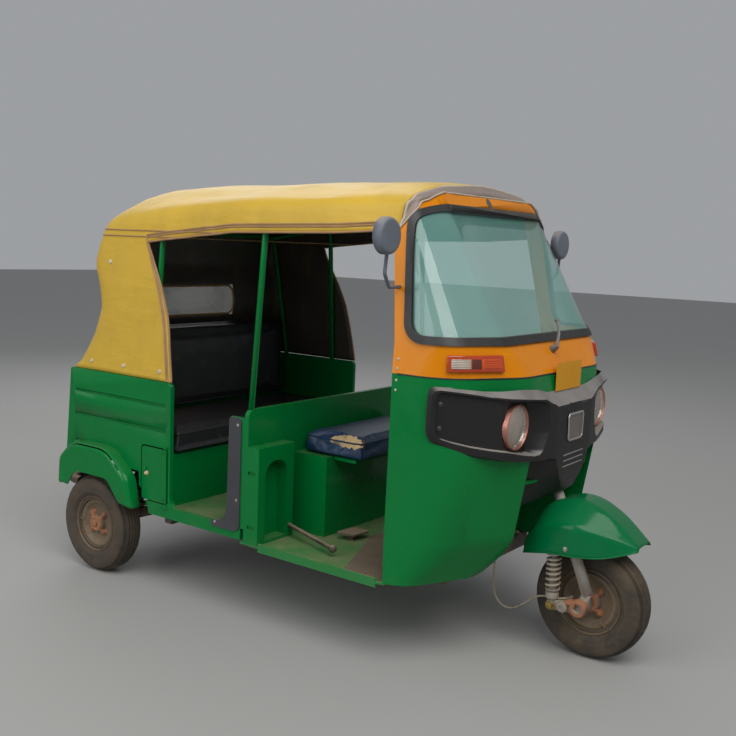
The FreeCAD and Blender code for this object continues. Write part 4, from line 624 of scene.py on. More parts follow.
# Each finish: its builder, its colour or the setting that holds it, and the builder's own values
LOOKS = {
    "green enamel": (enamel, "paint.green", 0.45),
    "yellow enamel": (enamel, "paint.yellow", 0.5),
    "glossy green": (enamel, (0.0, 0.15, 0.045), 0.3, 0.1, 0.2),
    "floor enamel": (enamel, (0.03, 0.19, 0.05), 0.14, 0.4, 4.6),
    "plate yellow": (enamel, (0.66, 0.3, 0.01), 0.4, 0.3),
    "chassis paint": (dull_paint, "paint.chassis"),
    "grey leg paint": (dull_paint, (0.3, 0.29, 0.27), 0.25, 0.7),
    "spring paint": (dull_paint, (0.46, 0.43, 0.36), 0.2, 0.7),
    "stud paint": (dull_paint, (0.55, 0.5, 0.4), 0.15, 0.7),
    "badge ground": (dull_paint, (0.16, 0.135, 0.12), 0.1, 0.6),
    "exhaust steel": (dull_paint, (0.09, 0.075, 0.065), 0.6, 0.6),
    "wheel paint": (wheel_paint, "paint.wheel"),
    "rusty casting": (cast_iron, (0.34, 0.15, 0.075)),
    "foam": (cast_iron, "seats.foam"),
    "engine casting": (oily_casting, (0.3, 0.3, 0.3)),
    "plain steel": (bright_metal, (0.5, 0.48, 0.45), 0.34),
    "badge silver": (bright_metal, (0.55, 0.54, 0.52), 0.3),
    "dull brass": (bright_metal, (0.42, 0.3, 0.1), 0.42),
    "lamp ring": (bright_metal, (0.6, 0.27, 0.21), 0.42),
    "reflector": (bright_metal, (0.8, 0.76, 0.7), 0.16),
    "dull clips": (bright_metal, (0.35, 0.31, 0.25), 0.5),
    "post rivets": (bright_metal, (0.62, 0.6, 0.5), 0.4),
    "mirror glass": (mirror_face, (0.75, 0.78, 0.79)),
    "tyre rubber": (tyre_rubber, "tyres.rubber"),
    "mat rubber": (floor_rubber, (0.1, 0.075, 0.05)),
    "seal rubber": (rubber, (0.012, 0.012, 0.013), 0.38),
    "piping": (rubber, "cloth.piping", 0.6),
    "pale piping": (rubber, (0.42, 0.35, 0.27), 0.6),
    "cable sleeve": (rubber, (0.27, 0.235, 0.18), 0.6),
    "black plastic": (plastic, (0.0125, 0.0115, 0.0115), 0.36, 0.85),
    "trim plastic": (plastic, (0.045, 0.046, 0.052), 0.5, 0.3),
    "mirror shell": (plastic, (0.125, 0.14, 0.17), 0.38, 0.6),
    "wiper paint": (plastic, (0.11, 0.095, 0.085), 0.34, 0.5),
    "cream knob": (plastic, (0.62, 0.46, 0.27), 0.4),
    "disc plastic": (plastic, (0.07, 0.055, 0.05), 0.35),
    "canopy cloth": (canopy_cloth, "cloth.canopy"),
    "canopy lining": (canopy_cloth, (0.055, 0.045, 0.035), 0.8),
    "cap cloth": (canopy_cloth, "cloth.cap", 0.25),
    "navy vinyl": (vinyl, "seats.navy"),
    "black vinyl": (vinyl, "seats.black"),
    "screen glass": (clear_glass, (0.2, 0.48, 0.42), 0.34),
    "clear film": (clear_glass, (0.5, 0.5, 0.42), 0.35, 0.2, 0.6),
    "lamp glass": (lens, (0.58, 0.5, 0.43), 0.55, 1.6),
    "bulb glass": (lens, (0.75, 0.7, 0.6), 1.0),
    "red lens": (lens, (0.45, 0.012, 0.012), 1.0, 1.0),
    "indicator body": (lens, (0.4, 0.04, 0.006), 1.0, 0.1),
    "indicator clear": (lens, (0.4, 0.33, 0.26), 1.0, 1.2),
    "indicator dark": (lens, (0.1, 0.016, 0.006), 1.0, 0.2),
    "indicator amber": (lens, (0.55, 0.07, 0.005), 1.0, 0.2),
}


# Wheels and leg


AXLE_Y = (0, 1, 0)
WHEELS = {
    "front": ("front_wheel", -1),
    "rear_left": ("rear_left_wheel", 1),
    "rear_right": ("rear_right_wheel", -1),
}
SIPE_WIDTH, SIPE_DEPTH = 0.0021, 0.0032
GROOVE_WAVE = 0.0011
RIM_STUDS = 12
HUB_NUTS = 4


def tyre_profile():
    """Half of the tyre's section, from the middle of the tread to the bead: (radius, along)."""
    depth = bpy.context.scene.rickshaw_tyres.groove
    return [
        (0.205, 0.0), (0.2048, 0.0052), (0.2046 - depth, 0.0062), (0.2044 - depth, 0.009), (0.2044, 0.01),
        (0.2038, 0.019), (0.2034 - depth, 0.02), (0.203 - depth, 0.0228), (0.203, 0.0238), (0.2018, 0.03),
        (0.2002, 0.0345), (0.1965, 0.04), (0.1915, 0.0448),
        (0.1895, 0.0456), (0.188, 0.0478), (0.18, 0.051), (0.17, 0.0532), (0.159, 0.054), (0.148, 0.0532),
        (0.138, 0.0508), (0.1355, 0.0512), (0.1338, 0.05), (0.129, 0.0466), (0.123, 0.0424), (0.119, 0.039),
        (0.1186, 0.0375), (0.102, 0.037),
    ]


class RICKSHAW_OT_tyres(bpy.types.Operator):
    """Model the three tyres with their grooves and shoulder cuts"""

    bl_idname = "rickshaw.tyres"
    bl_label = "Tyres"

    def execute(self, context):
        tyres = context.scene.rickshaw_tyres
        half = tyre_profile()
        profile = half + [(r, -a) for r, a in reversed(half[1:])]
        for name, (body, _) in WHEELS.items():
            node = name + "_tyre"
            centre = middle_of(node)
            bm = bmesh.new()
            closed_lathe(bm, profile, centre, AXLE_Y, tyres.sipes)
            shoulder = []
            for face in bm.faces:
                spot = face.calc_center_median() - centre
                radius = math.hypot(spot.x, spot.z)
                if 0.1925 < radius < 0.1996 and abs(spot.y) > 0.036:
                    shoulder.append(face)
            for vert in bm.verts:
                spot = vert.co - centre
                radius = math.hypot(spot.x, spot.z)
                if radius > 0.19 and 0.004 < abs(spot.y) < 0.0243:
                    turn = math.atan2(spot.z, spot.x) / math.tau * tyres.sipes
                    vert.co.y += GROOVE_WAVE if round(turn) % 4 < 2 else -GROOVE_WAVE
            if not shoulder:
                raise ValueError("no shoulder cut can be made")
            bmesh.ops.inset_individual(bm, faces=shoulder, thickness=SIPE_WIDTH, depth=-SIPE_DEPTH)
            bm.normal_update()
            piece(name + "_tyre_tread", bm, body, "tyre rubber", [node], smooth=32.0)
        return {"FINISHED"}


def prism(bm, centre, axis, radius, depth, sides=6, bevel=0.0012, top=None):
    """A bolt's head, nut, stud or button that stands on a spot along an axis."""
    axis = Vector(axis).normalized()
    up = (0, 0, 1) if abs(axis.z) < 0.9 else (1, 0, 0)
    where = placed(axis, Vector(centre) + axis * depth / 2, up)
    made = bmesh.ops.create_cone(
        bm, cap_ends=True, segments=sides, radius1=radius, radius2=radius if top is None else top, depth=depth,
        matrix=where,
    )["verts"]
    if bevel:
        edges = unique(e for v in made for e in v.link_edges)
        rim = [e for e in edges if all((v.co - Vector(centre)).dot(axis) > depth * 0.6 for v in e.verts)]
        bevelled(bm, rim, bevel)


class RICKSHAW_OT_rims(bpy.types.Operator):
    """Model the pressed rims with their hubs, nuts and valves"""

    bl_idname = "rickshaw.rims"
    bl_label = "Rims"

    def execute(self, context):
        section = [
            (0.118, 0.0372), (0.118, 0.0405), (0.117, 0.0422), (0.115, 0.0422), (0.1138, 0.0402), (0.1115, 0.0352),
            (0.108, 0.03), (0.106, 0.0285), (0.105, 0.0228), (0.103, 0.0228), (0.102, 0.0272), (0.098, 0.0302),
            (0.0925, 0.0306), (0.088, 0.0292), (0.082, 0.0244), (0.077, 0.0196), (0.072, 0.018), (0.069, 0.0176),
            (0.066, 0.015), (0.064, 0.0142), (0.0425, 0.0142), (0.0405, 0.0165), (0.0395, 0.029), (0.038, 0.033),
            (0.034, 0.035), (0.027, 0.0355), (0.016, 0.0355), (0.016, -0.01), (0.06, -0.01), (0.076, 0.005),
            (0.096, 0.01), (0.096, -0.04), (0.098, -0.042), (0.118, -0.042), (0.118, -0.0372), (0.1014, -0.0366),
            (0.1014, 0.0366),
        ]
        for name, (body, out) in WHEELS.items():
            centre = middle_of(name + "_tyre")
            axis = Vector((0, out, 0))
            bm = bmesh.new()
            closed_lathe(bm, section, centre, axis, 96)
            for k in range(RIM_STUDS):
                spot = Matrix.Rotation(math.tau * (k + 0.5) / RIM_STUDS, 3, "Y") @ Vector((0, 0, 0.085))
                prism(bm, centre + spot + axis * 0.024, axis, 0.0042, 0.0035, 12, 0.0008)
            valve = Matrix.Rotation(math.radians(-88 if name != "front" else 140), 3, "Y")
            line = [centre + valve @ Vector((0, 0, 0.106 - 0.034 * k / 4)) + axis * (0.031 + 0.0022 * k)
                    for k in range(5)]
            sweep(bm, line, [0.0042, 0.0036, 0.0033, 0.0036, 0.003], 10, hint=(0.3, 1, 0.2))
            piece(name + "_rim_pressing", bm, body, "wheel paint", [name + "_rim"], smooth=30.0)

            bm = bmesh.new()
            cap = [(0.0335, 0.034), (0.0325, 0.0385), (0.0265, 0.0405), (0.024, 0.0402), (0.022, 0.0375),
                   (0.0, 0.0372)]
            lathe(bm, cap, centre, axis, 40)
            prism(bm, centre + axis * 0.037, axis, 0.0135, 0.0075, 6, 0.0014)
            for k in range(HUB_NUTS):
                turn = Matrix.Rotation(math.radians(45 + 90 * k), 3, "Y")
                seat = centre + turn @ Vector((0, 0, 0.052))
                prism(bm, seat + axis * 0.0135, axis, 0.0145, 0.003, 24, 0.001)
                prism(bm, seat + axis * 0.016, axis, 0.0108, 0.0115, 6, 0.0018)
                prism(bm, seat + axis * 0.027, axis, 0.0048, 0.006, 10, 0.001)
                web = [centre + turn @ Vector((0, 0, r)) + axis * a
                       for r, a in ((0.03, 0.03), (0.04, 0.024), (0.05, 0.016))]
                sweep(bm, web, [0.0085, 0.0085, 0.0065], 10, hint=(0.2, 1, 0.3))
            piece(name + "_hub_and_nuts", bm, body, "rusty casting", smooth=32.0)
        return {"FINISHED"}


SPRING_TURNS, SPRING_RADIUS, SPRING_WIRE = 9.6, 0.0228, 0.0046


class RICKSHAW_OT_leg(bpy.types.Operator):
    """Model the front spring's coils and the castings and bolts on the leg"""

    bl_idname = "rickshaw.leg"
    bl_label = "Spring and leg"

    def execute(self, context):
        low, high = corners_of("front_spring")
        x, y = (low.x + high.x) / 2, (low.y + high.y) / 2
        bm = bmesh.new()
        per_turn = 26
        start, end = low.z + 0.036, high.z - 0.02
        line = []
        for k in range(int(SPRING_TURNS * per_turn) + 1):
            angle = math.tau * k / per_turn
            rise = k / (SPRING_TURNS * per_turn)
            level = start + (end - start) * (rise + 0.018 * math.sin(math.tau * rise))
            line.append((x + SPRING_RADIUS * math.cos(angle), y + SPRING_RADIUS * math.sin(angle), level))
        sweep(bm, line, SPRING_WIRE, 10)
        piece("front_spring_coils", bm, "steering", "spring paint", ["front_spring"], smooth=60.0)

        bm = bmesh.new()
        tall = high.z - low.z
        damper = [(0.0, 0.0), (0.02, 0.0), (0.0235, 0.004), (0.024, 0.022), (0.0215, 0.026), (0.015, 0.029),
                  (0.015, 0.13), (0.0125, 0.133), (0.0125, tall - 0.026), (0.025, tall - 0.023),
                  (0.025, tall - 0.002), (0.0, tall)]
        lathe(bm, damper, (x, y, low.z), (0, 0, 1), 40, (1, 0, 0))
        for level in (0.033, tall - 0.0215):
            ring = [(0.0165, level), (0.0262, level), (0.0262, level + 0.0035), (0.0165, level + 0.0035)]
            closed_lathe(bm, ring, (x, y, low.z), (0, 0, 1), 32, (1, 0, 0))
        piece("front_damper", bm, "steering", "grey leg paint")

        hub = middle_of("front_tyre")
        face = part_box("steering_fork")[0][1]
        bm = bmesh.new()
        boss = [(0.029, 0.03), (0.0305, 0.02), (0.0305, 0.004), (0.0285, -0.001), (0.0215, -0.0024),
                (0.0172, -0.0014), (0.0152, 0.003), (0.015, 0.014), (0.0, 0.0145), (0.0, 0.029)]
        lathe(bm, boss, (hub.x, face, hub.z), (0, 1, 0), 48)
        web = [(hub.x - 0.01, face + 0.021, hub.z + 0.006), (hub.x - 0.034, face + 0.021, hub.z + 0.01),
               (hub.x - 0.062, face + 0.022, hub.z - 0.002)]
        sweep(bm, web, [0.0235, 0.0195, 0.015], 20, flat=0.62, hint=(0, 0, 1))
        piece("axle_casting", bm, "steering", "rusty casting", smooth=40.0)

        foot = (x, y - 0.009, low.z - 0.022)
        bm = bmesh.new()
        prism(bm, foot, (0, -1, 0), 0.0185, 0.0045, 28)
        prism(bm, (foot[0], foot[1] - 0.0045, foot[2]), (0, -1, 0), 0.0135, 0.011, 6, 0.0016)
        piece("spring_foot_nut", bm, "steering", "dull brass", smooth=32.0)
        bm = bmesh.new()
        pivot = (hub.x - 0.058, face + 0.005, hub.z - 0.009)
        prism(bm, pivot, (0, -1, 0), 0.0185, 0.005, 32)
        closed_lathe(bm, [(0.0085, 0.0), (0.0125, 0.0), (0.0125, 0.004), (0.0085, 0.004)],
                     (pivot[0], pivot[1] - 0.005, pivot[2]), (0, -1, 0), 28)
        piece("link_pivot", bm, "steering", "grey leg paint", smooth=32.0)
        return {"FINISHED"}


# Cloth


# Each rib of the roof: where its spine and its edge are (x, z), its half width, and how far it has dropped at a
# quarter of the way and at the shoulder
HOOD_RIBS = [
    ((0.528, 1.66), (0.489, 1.474), 0.487, 0.022, 0.085),
    ((0.485, 1.664), (0.457, 1.47), 0.497, 0.028, 0.09),
    ((0.235, 1.68), (0.235, 1.456), 0.535, 0.042, 0.102),
    ((-0.215, 1.674), (-0.215, 1.446), 0.552, 0.042, 0.108),
    ((-0.615, 1.666), (-0.585, 1.408), 0.555, 0.042, 0.138),
    ((-0.795, 1.655), (-0.679, 1.396), 0.556, 0.046, 0.15),
    ((-0.885, 1.622), (-0.652, 1.346), 0.557, 0.04, 0.12),
    ((-0.99, 1.5), (-0.615, 1.28), 0.562, 0.01, 0.04),
    ((-1.013, 1.4), (-0.582, 1.22), 0.566, 0.006, 0.016),
    ((-1.045, 1.31), (-0.56, 1.17), 0.57, 0.006, 0.012),
    ((-1.005, 1.215), (-0.54, 1.12), 0.574, 0.006, 0.012),
    ((-0.983, 1.114), (-0.522, 1.04), 0.58, 0.006, 0.012),
    ((-1.023, 1.0), (-0.506, 0.95), 0.588, 0.006, 0.012),
    ((-1.121, 0.8535), (-0.49, 0.8535), 0.594, 0.006, 0.012),
]
CAP_RIBS = [
    ((0.528, 1.6585), (0.489, 1.474), 0.487, 0.022, 0.085),
    ((0.537, 1.648), (0.502, 1.49), 0.48, 0.02, 0.07),
    ((0.547, 1.63), (0.515, 1.515), 0.462, 0.014, 0.05),
    ((0.553, 1.609), (0.532, 1.545), 0.44, 0.006, 0.026),
]


def blended_ribs(rows, step):
    """The ribs between the listed ones, a step apart at most."""
    ribs = []
    for first, second in zip(rows, rows[1:]):
        gap = max((Vector(first[i]) - Vector(second[i])).length for i in (0, 1))
        count = max(1, math.ceil(gap / step))
        for k in range(count):
            share = k / count
            ends = [Vector(a).lerp(Vector(b), share) for a, b in zip(first[:2], second[:2])]
            ribs.append((*ends, *[a + (b - a) * share for a, b in zip(first[2:], second[2:])]))
    return ribs + [(Vector(rows[-1][0]), Vector(rows[-1][1]), *rows[-1][2:])]


def rib_line(rib, count):
    """Points of one rib from the left hem over the spine to the right hem."""
    spine, edge, half, quarter, shoulder = rib
    reach = edge - spine
    corners = [(0.0, 0.0, 0), (0.62 * half, quarter, 0 if quarter < 0.02 else 0.5), (half - 0.008, shoulder, 0.035),
               (half, reach.length, 0)]
    right = []
    for across, down in evenly(rounded(corners, 0.004), count=count):
        spot = spine + reach * (down / reach.length)
        right.append(Vector((spot.x, -across, spot.y)))
    left = [Vector((p.x, -p.y, p.z)) for p in reversed(right[1:])]
    return left + right


def grid_normals(rows):
    """Outward normals of a grid of points."""
    normals = []
    for k, row in enumerate(rows):
        ahead, behind = rows[max(k - 1, 0)], rows[min(k + 1, len(rows) - 1)]
        line = []
        for j, _ in enumerate(row):
            along = ahead[j] - behind[j]
            across = row[min(j + 1, len(row) - 1)] - row[max(j - 1, 0)]
            line.append(along.cross(across).normalized() * -1.0)
        normals.append(line)
    return normals


def eased(rows, rounds, share=0.5):
    """The grid with each inner point drawn towards the middle of its neighbours."""
    for _ in range(rounds):
        fresh = [[p.copy() for p in row] for row in rows]
        for k in range(1, len(rows) - 1):
            for j in range(1, len(rows[0]) - 1):
                middle = (rows[k - 1][j] + rows[k + 1][j] + rows[k][j - 1] + rows[k][j + 1]) / 4
                fresh[k][j] = rows[k][j].lerp(middle, share)
        rows = fresh
    return rows


def laid_grid(ribs, count, tree, rounds, far=0.045):
    """A grid of points over the ribs, drawn onto a packed skin and then eased."""
    rows = [rib_line(rib, count) for rib in ribs]
    normals = grid_normals(rows)
    for row, out in zip(rows, normals):
        for j, spot in enumerate(row):
            near, _, _, gap = tree.find_nearest(spot + out[j] * 0.012)
            if near is not None and gap < far and j not in (0, len(row) - 1):
                row[j] = near
    return eased(rows, rounds)


def grid_mesh(rows):
    """A single sheet of faces over a grid of points."""
    bm = bmesh.new()
    long, wide = len(rows) - 1, len(rows[0]) - 1
    bmesh.ops.create_grid(bm, x_segments=long, y_segments=wide, size=1.0)
    for vert in bm.verts:
        k, j = round((vert.co.x + 1) / 2 * long), round((vert.co.y + 1) / 2 * wide)
        vert.co = rows[k][j]
    bm.normal_update()
    turned_outwards(bm, lambda f: f.normal.z)
    return bm


def creased(rows, depth, hem):
    """Soft creases: long pulls across the sides, small folds by the hem."""
    normals = grid_normals(rows)
    last = len(rows[0]) - 1
    for k, row in enumerate(rows):
        for j, spot in enumerate(row):
            side = min(j, last - j) / (last / 2)
            pulls = noise.noise(Vector((spot.x * 7.0, spot.y * 2.0, spot.z * 9.0)))
            small = noise.noise(Vector((spot.x * 24.0, spot.y * 9.0, spot.z * 22.0)))
            ripple = noise.noise(Vector((spot.x * 17.0 + 4.0, spot.y, 0.5))) * hem * max(0.0, 1.0 - side * 3.2)
            edge = 0.25 if k in (0, len(rows) - 1) else 1.0
            row[j] = spot - normals[k][j] * edge * (0.003 + depth * (0.65 * pulls + 0.35 * small) * 0.5 + ripple)
    return rows


def hugged(rows, tree, proud):
    """The grid kept just off a skin, and close to it along its last rows, whose edge is smoothed."""
    for turn in range(4):
        for k, row in enumerate(rows):
            for j, here in enumerate(row):
                inner = Vector((0.4, min(max(here.y, -0.3), 0.3), 1.42))
                out = (here - inner).normalized()
                spot, _, _, _ = tree.ray_cast(here + out * 0.03, -out, 0.055)
                if spot is None:
                    continue
                lift = (here - spot).dot(out)
                if lift < proud or k > len(rows) - 3:
                    row[j] = spot + out * proud
        if turn < 3:
            rows = eased(rows, 1, 0.6)
            line = rows[-1]
            inner_part = [line[j].lerp((line[j - 1] + line[j + 1]) / 2, 0.7) for j in range(1, len(line) - 1)]
            rows[-1] = [line[0], *inner_part, line[-1]]
    return rows


def closed_sheet(name, bm, outer, stands_for, even=True):
    """Makes the sheet thick, with its lining inside. Returns the piece and the area of the sheet."""
    area = sum(f.calc_area() for f in bm.faces)
    made = piece(name, bm, "root", (outer, "canopy lining"), stands_for, smooth=62.0)
    modified(made, "SOLIDIFY", thickness=bpy.context.scene.rickshaw_cloth.sheet, offset=-1.0, material_offset=1,
             use_even_offset=even)
    return made, area


GRID_COLUMNS = 44
HOOPS_X = (0.385, -0.077, -0.615)
# The rear window's opening in the cloth: half width, bottom, top
WINDOW = (0.252, 1.058, 1.202)
# Hints for sweeps that keep clear of the line's own direction
AHEAD, ACROSS, ALONG, LEVEL = (1, 0.1, 0.1), (1, 0.1, 0.2), (0.1, 1, 0.2), (0.1, 0.1, 1)
STITCH_LIFTS = (0.02, 0.029)
BAND_HEIGHTS = (1.417, 1.441)
STUDS_XZ = ((-0.905, 1.309), (-0.56, 0.89), (-0.78, 0.89), (-0.985, 0.89))
HOOD_WIDTH, CAP_WIDTH = 1.6, 1.5
# How much of its flat rectangle a sheet takes up
CUT_SHARE = 0.9


def faces_behind(bm, half, low, top):
    """The faces at the back of the roof inside a window."""
    middles = [(f, f.calc_center_median()) for f in bm.faces]
    return [f for f, middle in middles if middle.x < -0.93 and abs(middle.y) < half and low < middle.z < top]


def stitch_line(rows, normals, side, lift, out):
    """A line that stays a distance in from the hem on one side of the roof."""
    step = 1 if side == 0 else -1
    line = []
    for row, outwards in zip(rows[1:], normals[1:]):
        spot, run, j = row[side], 0.0, side
        while run < lift:
            hop = (row[j + step] - row[j]).length
            if run + hop >= lift:
                spot = row[j].lerp(row[j + step], (lift - run) / hop)
                break
            run += hop
            j += step
        line.append(spot + outwards[j] * out)
    return line


def hood_piping(rows, around, radius):
    """The hems, stitched seams, bands and the rear window's frame of the roof, as one bmesh."""
    bm = bmesh.new()
    normals = grid_normals(rows)
    last = len(rows[0]) - 1
    out = radius * 0.35
    for lift in STITCH_LIFTS:
        for side in (0, last):
            sweep(bm, stitch_line(rows, normals, side, lift, out), radius, 7, flat=0.8, hint=ALONG)
    for side in (0, last):
        line = [row[side] + outwards[side] * 0.0005 for row, outwards in zip(rows, normals)]
        sweep(bm, line, 0.0042, 8, hint=ALONG)
    corner_at = round(last / 2 * 0.62)
    for j in (corner_at, last - corner_at):
        behind = [(row[j], outwards[j]) for row, outwards in zip(rows, normals) if row[j].z < 1.5 and row[j].x < -0.75]
        sweep(bm, [spot + away * out for spot, away in behind], radius, 7, hint=ALONG)
    for height in BAND_HEIGHTS:
        line = []
        for k in range(-62, 63):
            away = heading(180 + k * 2)
            line.append(on_skin(around, Vector((-0.66, 0, height)) + away * 2, -away, out)[0])
        sweep(bm, line, radius * 0.8, 7, hint=LEVEL)
    half, low, top = WINDOW[0] - 0.004, WINDOW[1] + 0.004, WINDOW[2] - 0.004
    ring = []
    corners = [(half - 0.02, low), (half, low + 0.02), (half, top - 0.02), (half - 0.02, top)]
    corners = corners + [(-y, z) for y, z in reversed(corners)]
    for (ya, za), (yb, zb) in zip(corners, corners[1:] + corners[:1]):
        for k in range(12):
            y, z = ya + (yb - ya) * k / 12, za + (zb - za) * k / 12
            ring.append(on_skin(around, (-1.4, y, z), (1, 0, 0), 0.001)[0])
    sweep(bm, ring, 0.0055, 8, closed=True, hint=AHEAD)
    return bm


class RICKSHAW_OT_canopy(bpy.types.Operator):
    """Model the roof's cloth as one curved sheet, with its hem, piping, rear window and studs"""

    bl_idname = "rickshaw.canopy"
    bl_label = "Canopy"

    def execute(self, context):
        cloth = context.scene.rickshaw_cloth
        rows = laid_grid(blended_ribs(HOOD_RIBS, 0.024), GRID_COLUMNS, skin_of("canopy"), 7)
        for row in rows:
            for spot in row:
                if spot.z > 1.58:
                    gap = min(abs(spot.x - hoop) for hoop in HOOPS_X)
                    spot.z -= cloth.sag * 0.6 * min(1.0, gap / 0.2) ** 1.5
        rows = creased(rows, 0.0045, 0.004)
        bm = grid_mesh(rows)
        half, low, top = WINDOW
        for axis, level in ((1, -half), (1, half), (2, low), (2, top)):
            behind = faces_behind(bm, 0.3, 1.02, 1.24)
            edges, verts = unique(e for f in behind for e in f.edges), unique(v for f in behind for v in f.verts)
            normal = Vector([float(i == axis) for i in range(3)])
            bmesh.ops.bisect_plane(bm, geom=behind + edges + verts, plane_co=normal * level, plane_no=normal)
        bmesh.ops.delete(bm, geom=faces_behind(bm, half, low, top), context="FACES")
        sheet, area = closed_sheet("canopy_sheet", bm, "canopy cloth", ["canopy"])

        around = BVHTree.FromBMesh(grid_mesh(rows))
        fittings = hood_piping(rows, around, cloth.cord_radius)
        trims = piece("canopy_piping", fittings, "root", "piping", smooth=50.0)
        studs = bmesh.new()
        for y in (-0.575, 0.575):
            for x, z in STUDS_XZ:
                spot, normal = on_skin(around, (x, y * 1.6, z), (0, -y, 0), -0.0008)
                prism(studs, spot, normal, 0.0085, 0.005, 20, 0.0014)
        fastened = piece("canopy_studs", studs, "root", "stud paint", smooth=40.0)
        area / HOOD_WIDTH / CUT_SHARE

        rows = laid_grid(blended_ribs(CAP_RIBS, 0.008), GRID_COLUMNS, skin_of("canopy_cap"), 3, 0.012)
        rows = hugged(creased(rows, 0.005, 0.002), skin_of("windscreen_surround"), 0.0046)
        cap, area = closed_sheet("cap_sheet", grid_mesh(rows), "cap cloth", ["canopy_cap"], even=False)
        normals = grid_normals(rows)
        edge = bmesh.new()
        line = [spot + normals[-2][j] * 0.001 for j, spot in enumerate(rows[-1])]
        sweep(edge, line, 0.0036, 8, hint=ACROSS)
        for side in (0, -1):
            sweep(edge, [row[side] for row in rows], 0.0034, 8, hint=(0.2, 1, 0.2))
        line = [spot + normals[1][j] * 0.0015 for j, spot in enumerate(rows[0])]
        sweep(edge, line, 0.005, 8, hint=ACROSS)
        edging = piece("cap_piping", edge, "root", "pale piping", smooth=50.0)
        area / CAP_WIDTH / CUT_SHARE
        return {"FINISHED"}


# Seats


# Each cushion: its piece, node, finish, slot, the height of its crown and the size of its voxels
CUSHIONS = [
    ("driver_seat", "driver_cushion", "navy vinyl", "seat_vinyl", 0.01, 0.006),
    ("bench_seat", "passenger_cushion", "black vinyl", "bench_vinyl", 0.014, 0.0085),
    ("bench_back", "passenger_backrest", "black vinyl", "bench_vinyl", 0.01, 0.0085),
]
SWELL = {
    "quality": 5,
    "mass": 0.3,
    "tension_stiffness": 22,
    "compression_stiffness": 22,
    "shear_stiffness": 12,
    "bending_stiffness": 1.5,
    "use_pressure": True,
    "vertex_group_mass": "held",
}
SWELL_FRAMES = 20
# The torn patch on the driver's cushion: its middle and how far it reaches
TEAR_AT, TEAR_REACH = (0.155, -0.3, 0.676), (0.085, 0.06, 0.022)


def torn(mesh):
    """Shows the foam in a ragged patch."""
    for face in mesh.polygons:
        spot = face.center
        reach = Vector([(a - at) / far for a, at, far in zip(spot, TEAR_AT, TEAR_REACH)])
        if reach.length + noise.noise(spot * 60.0) * 0.22 < 1.0:
            face.material_index = 1


def swollen(made, pressure):
    """Swells a closed mesh by a short cloth run with air pressure inside, and applies it."""
    cloth = made.modifiers.new("swell", "CLOTH")
    for key, value in SWELL.items():
        setattr(cloth.settings, key, value)
    cloth.settings.uniform_pressure_force = pressure
    cloth.settings.effector_weights.gravity = 0.0
    cloth.point_cache.frame_start = 1
    cloth.point_cache.frame_end = SWELL_FRAMES
    for number in range(1, SWELL_FRAMES + 1):
        bpy.context.scene.frame_set(number)
    baked(made)
    bpy.context.scene.frame_set(1)


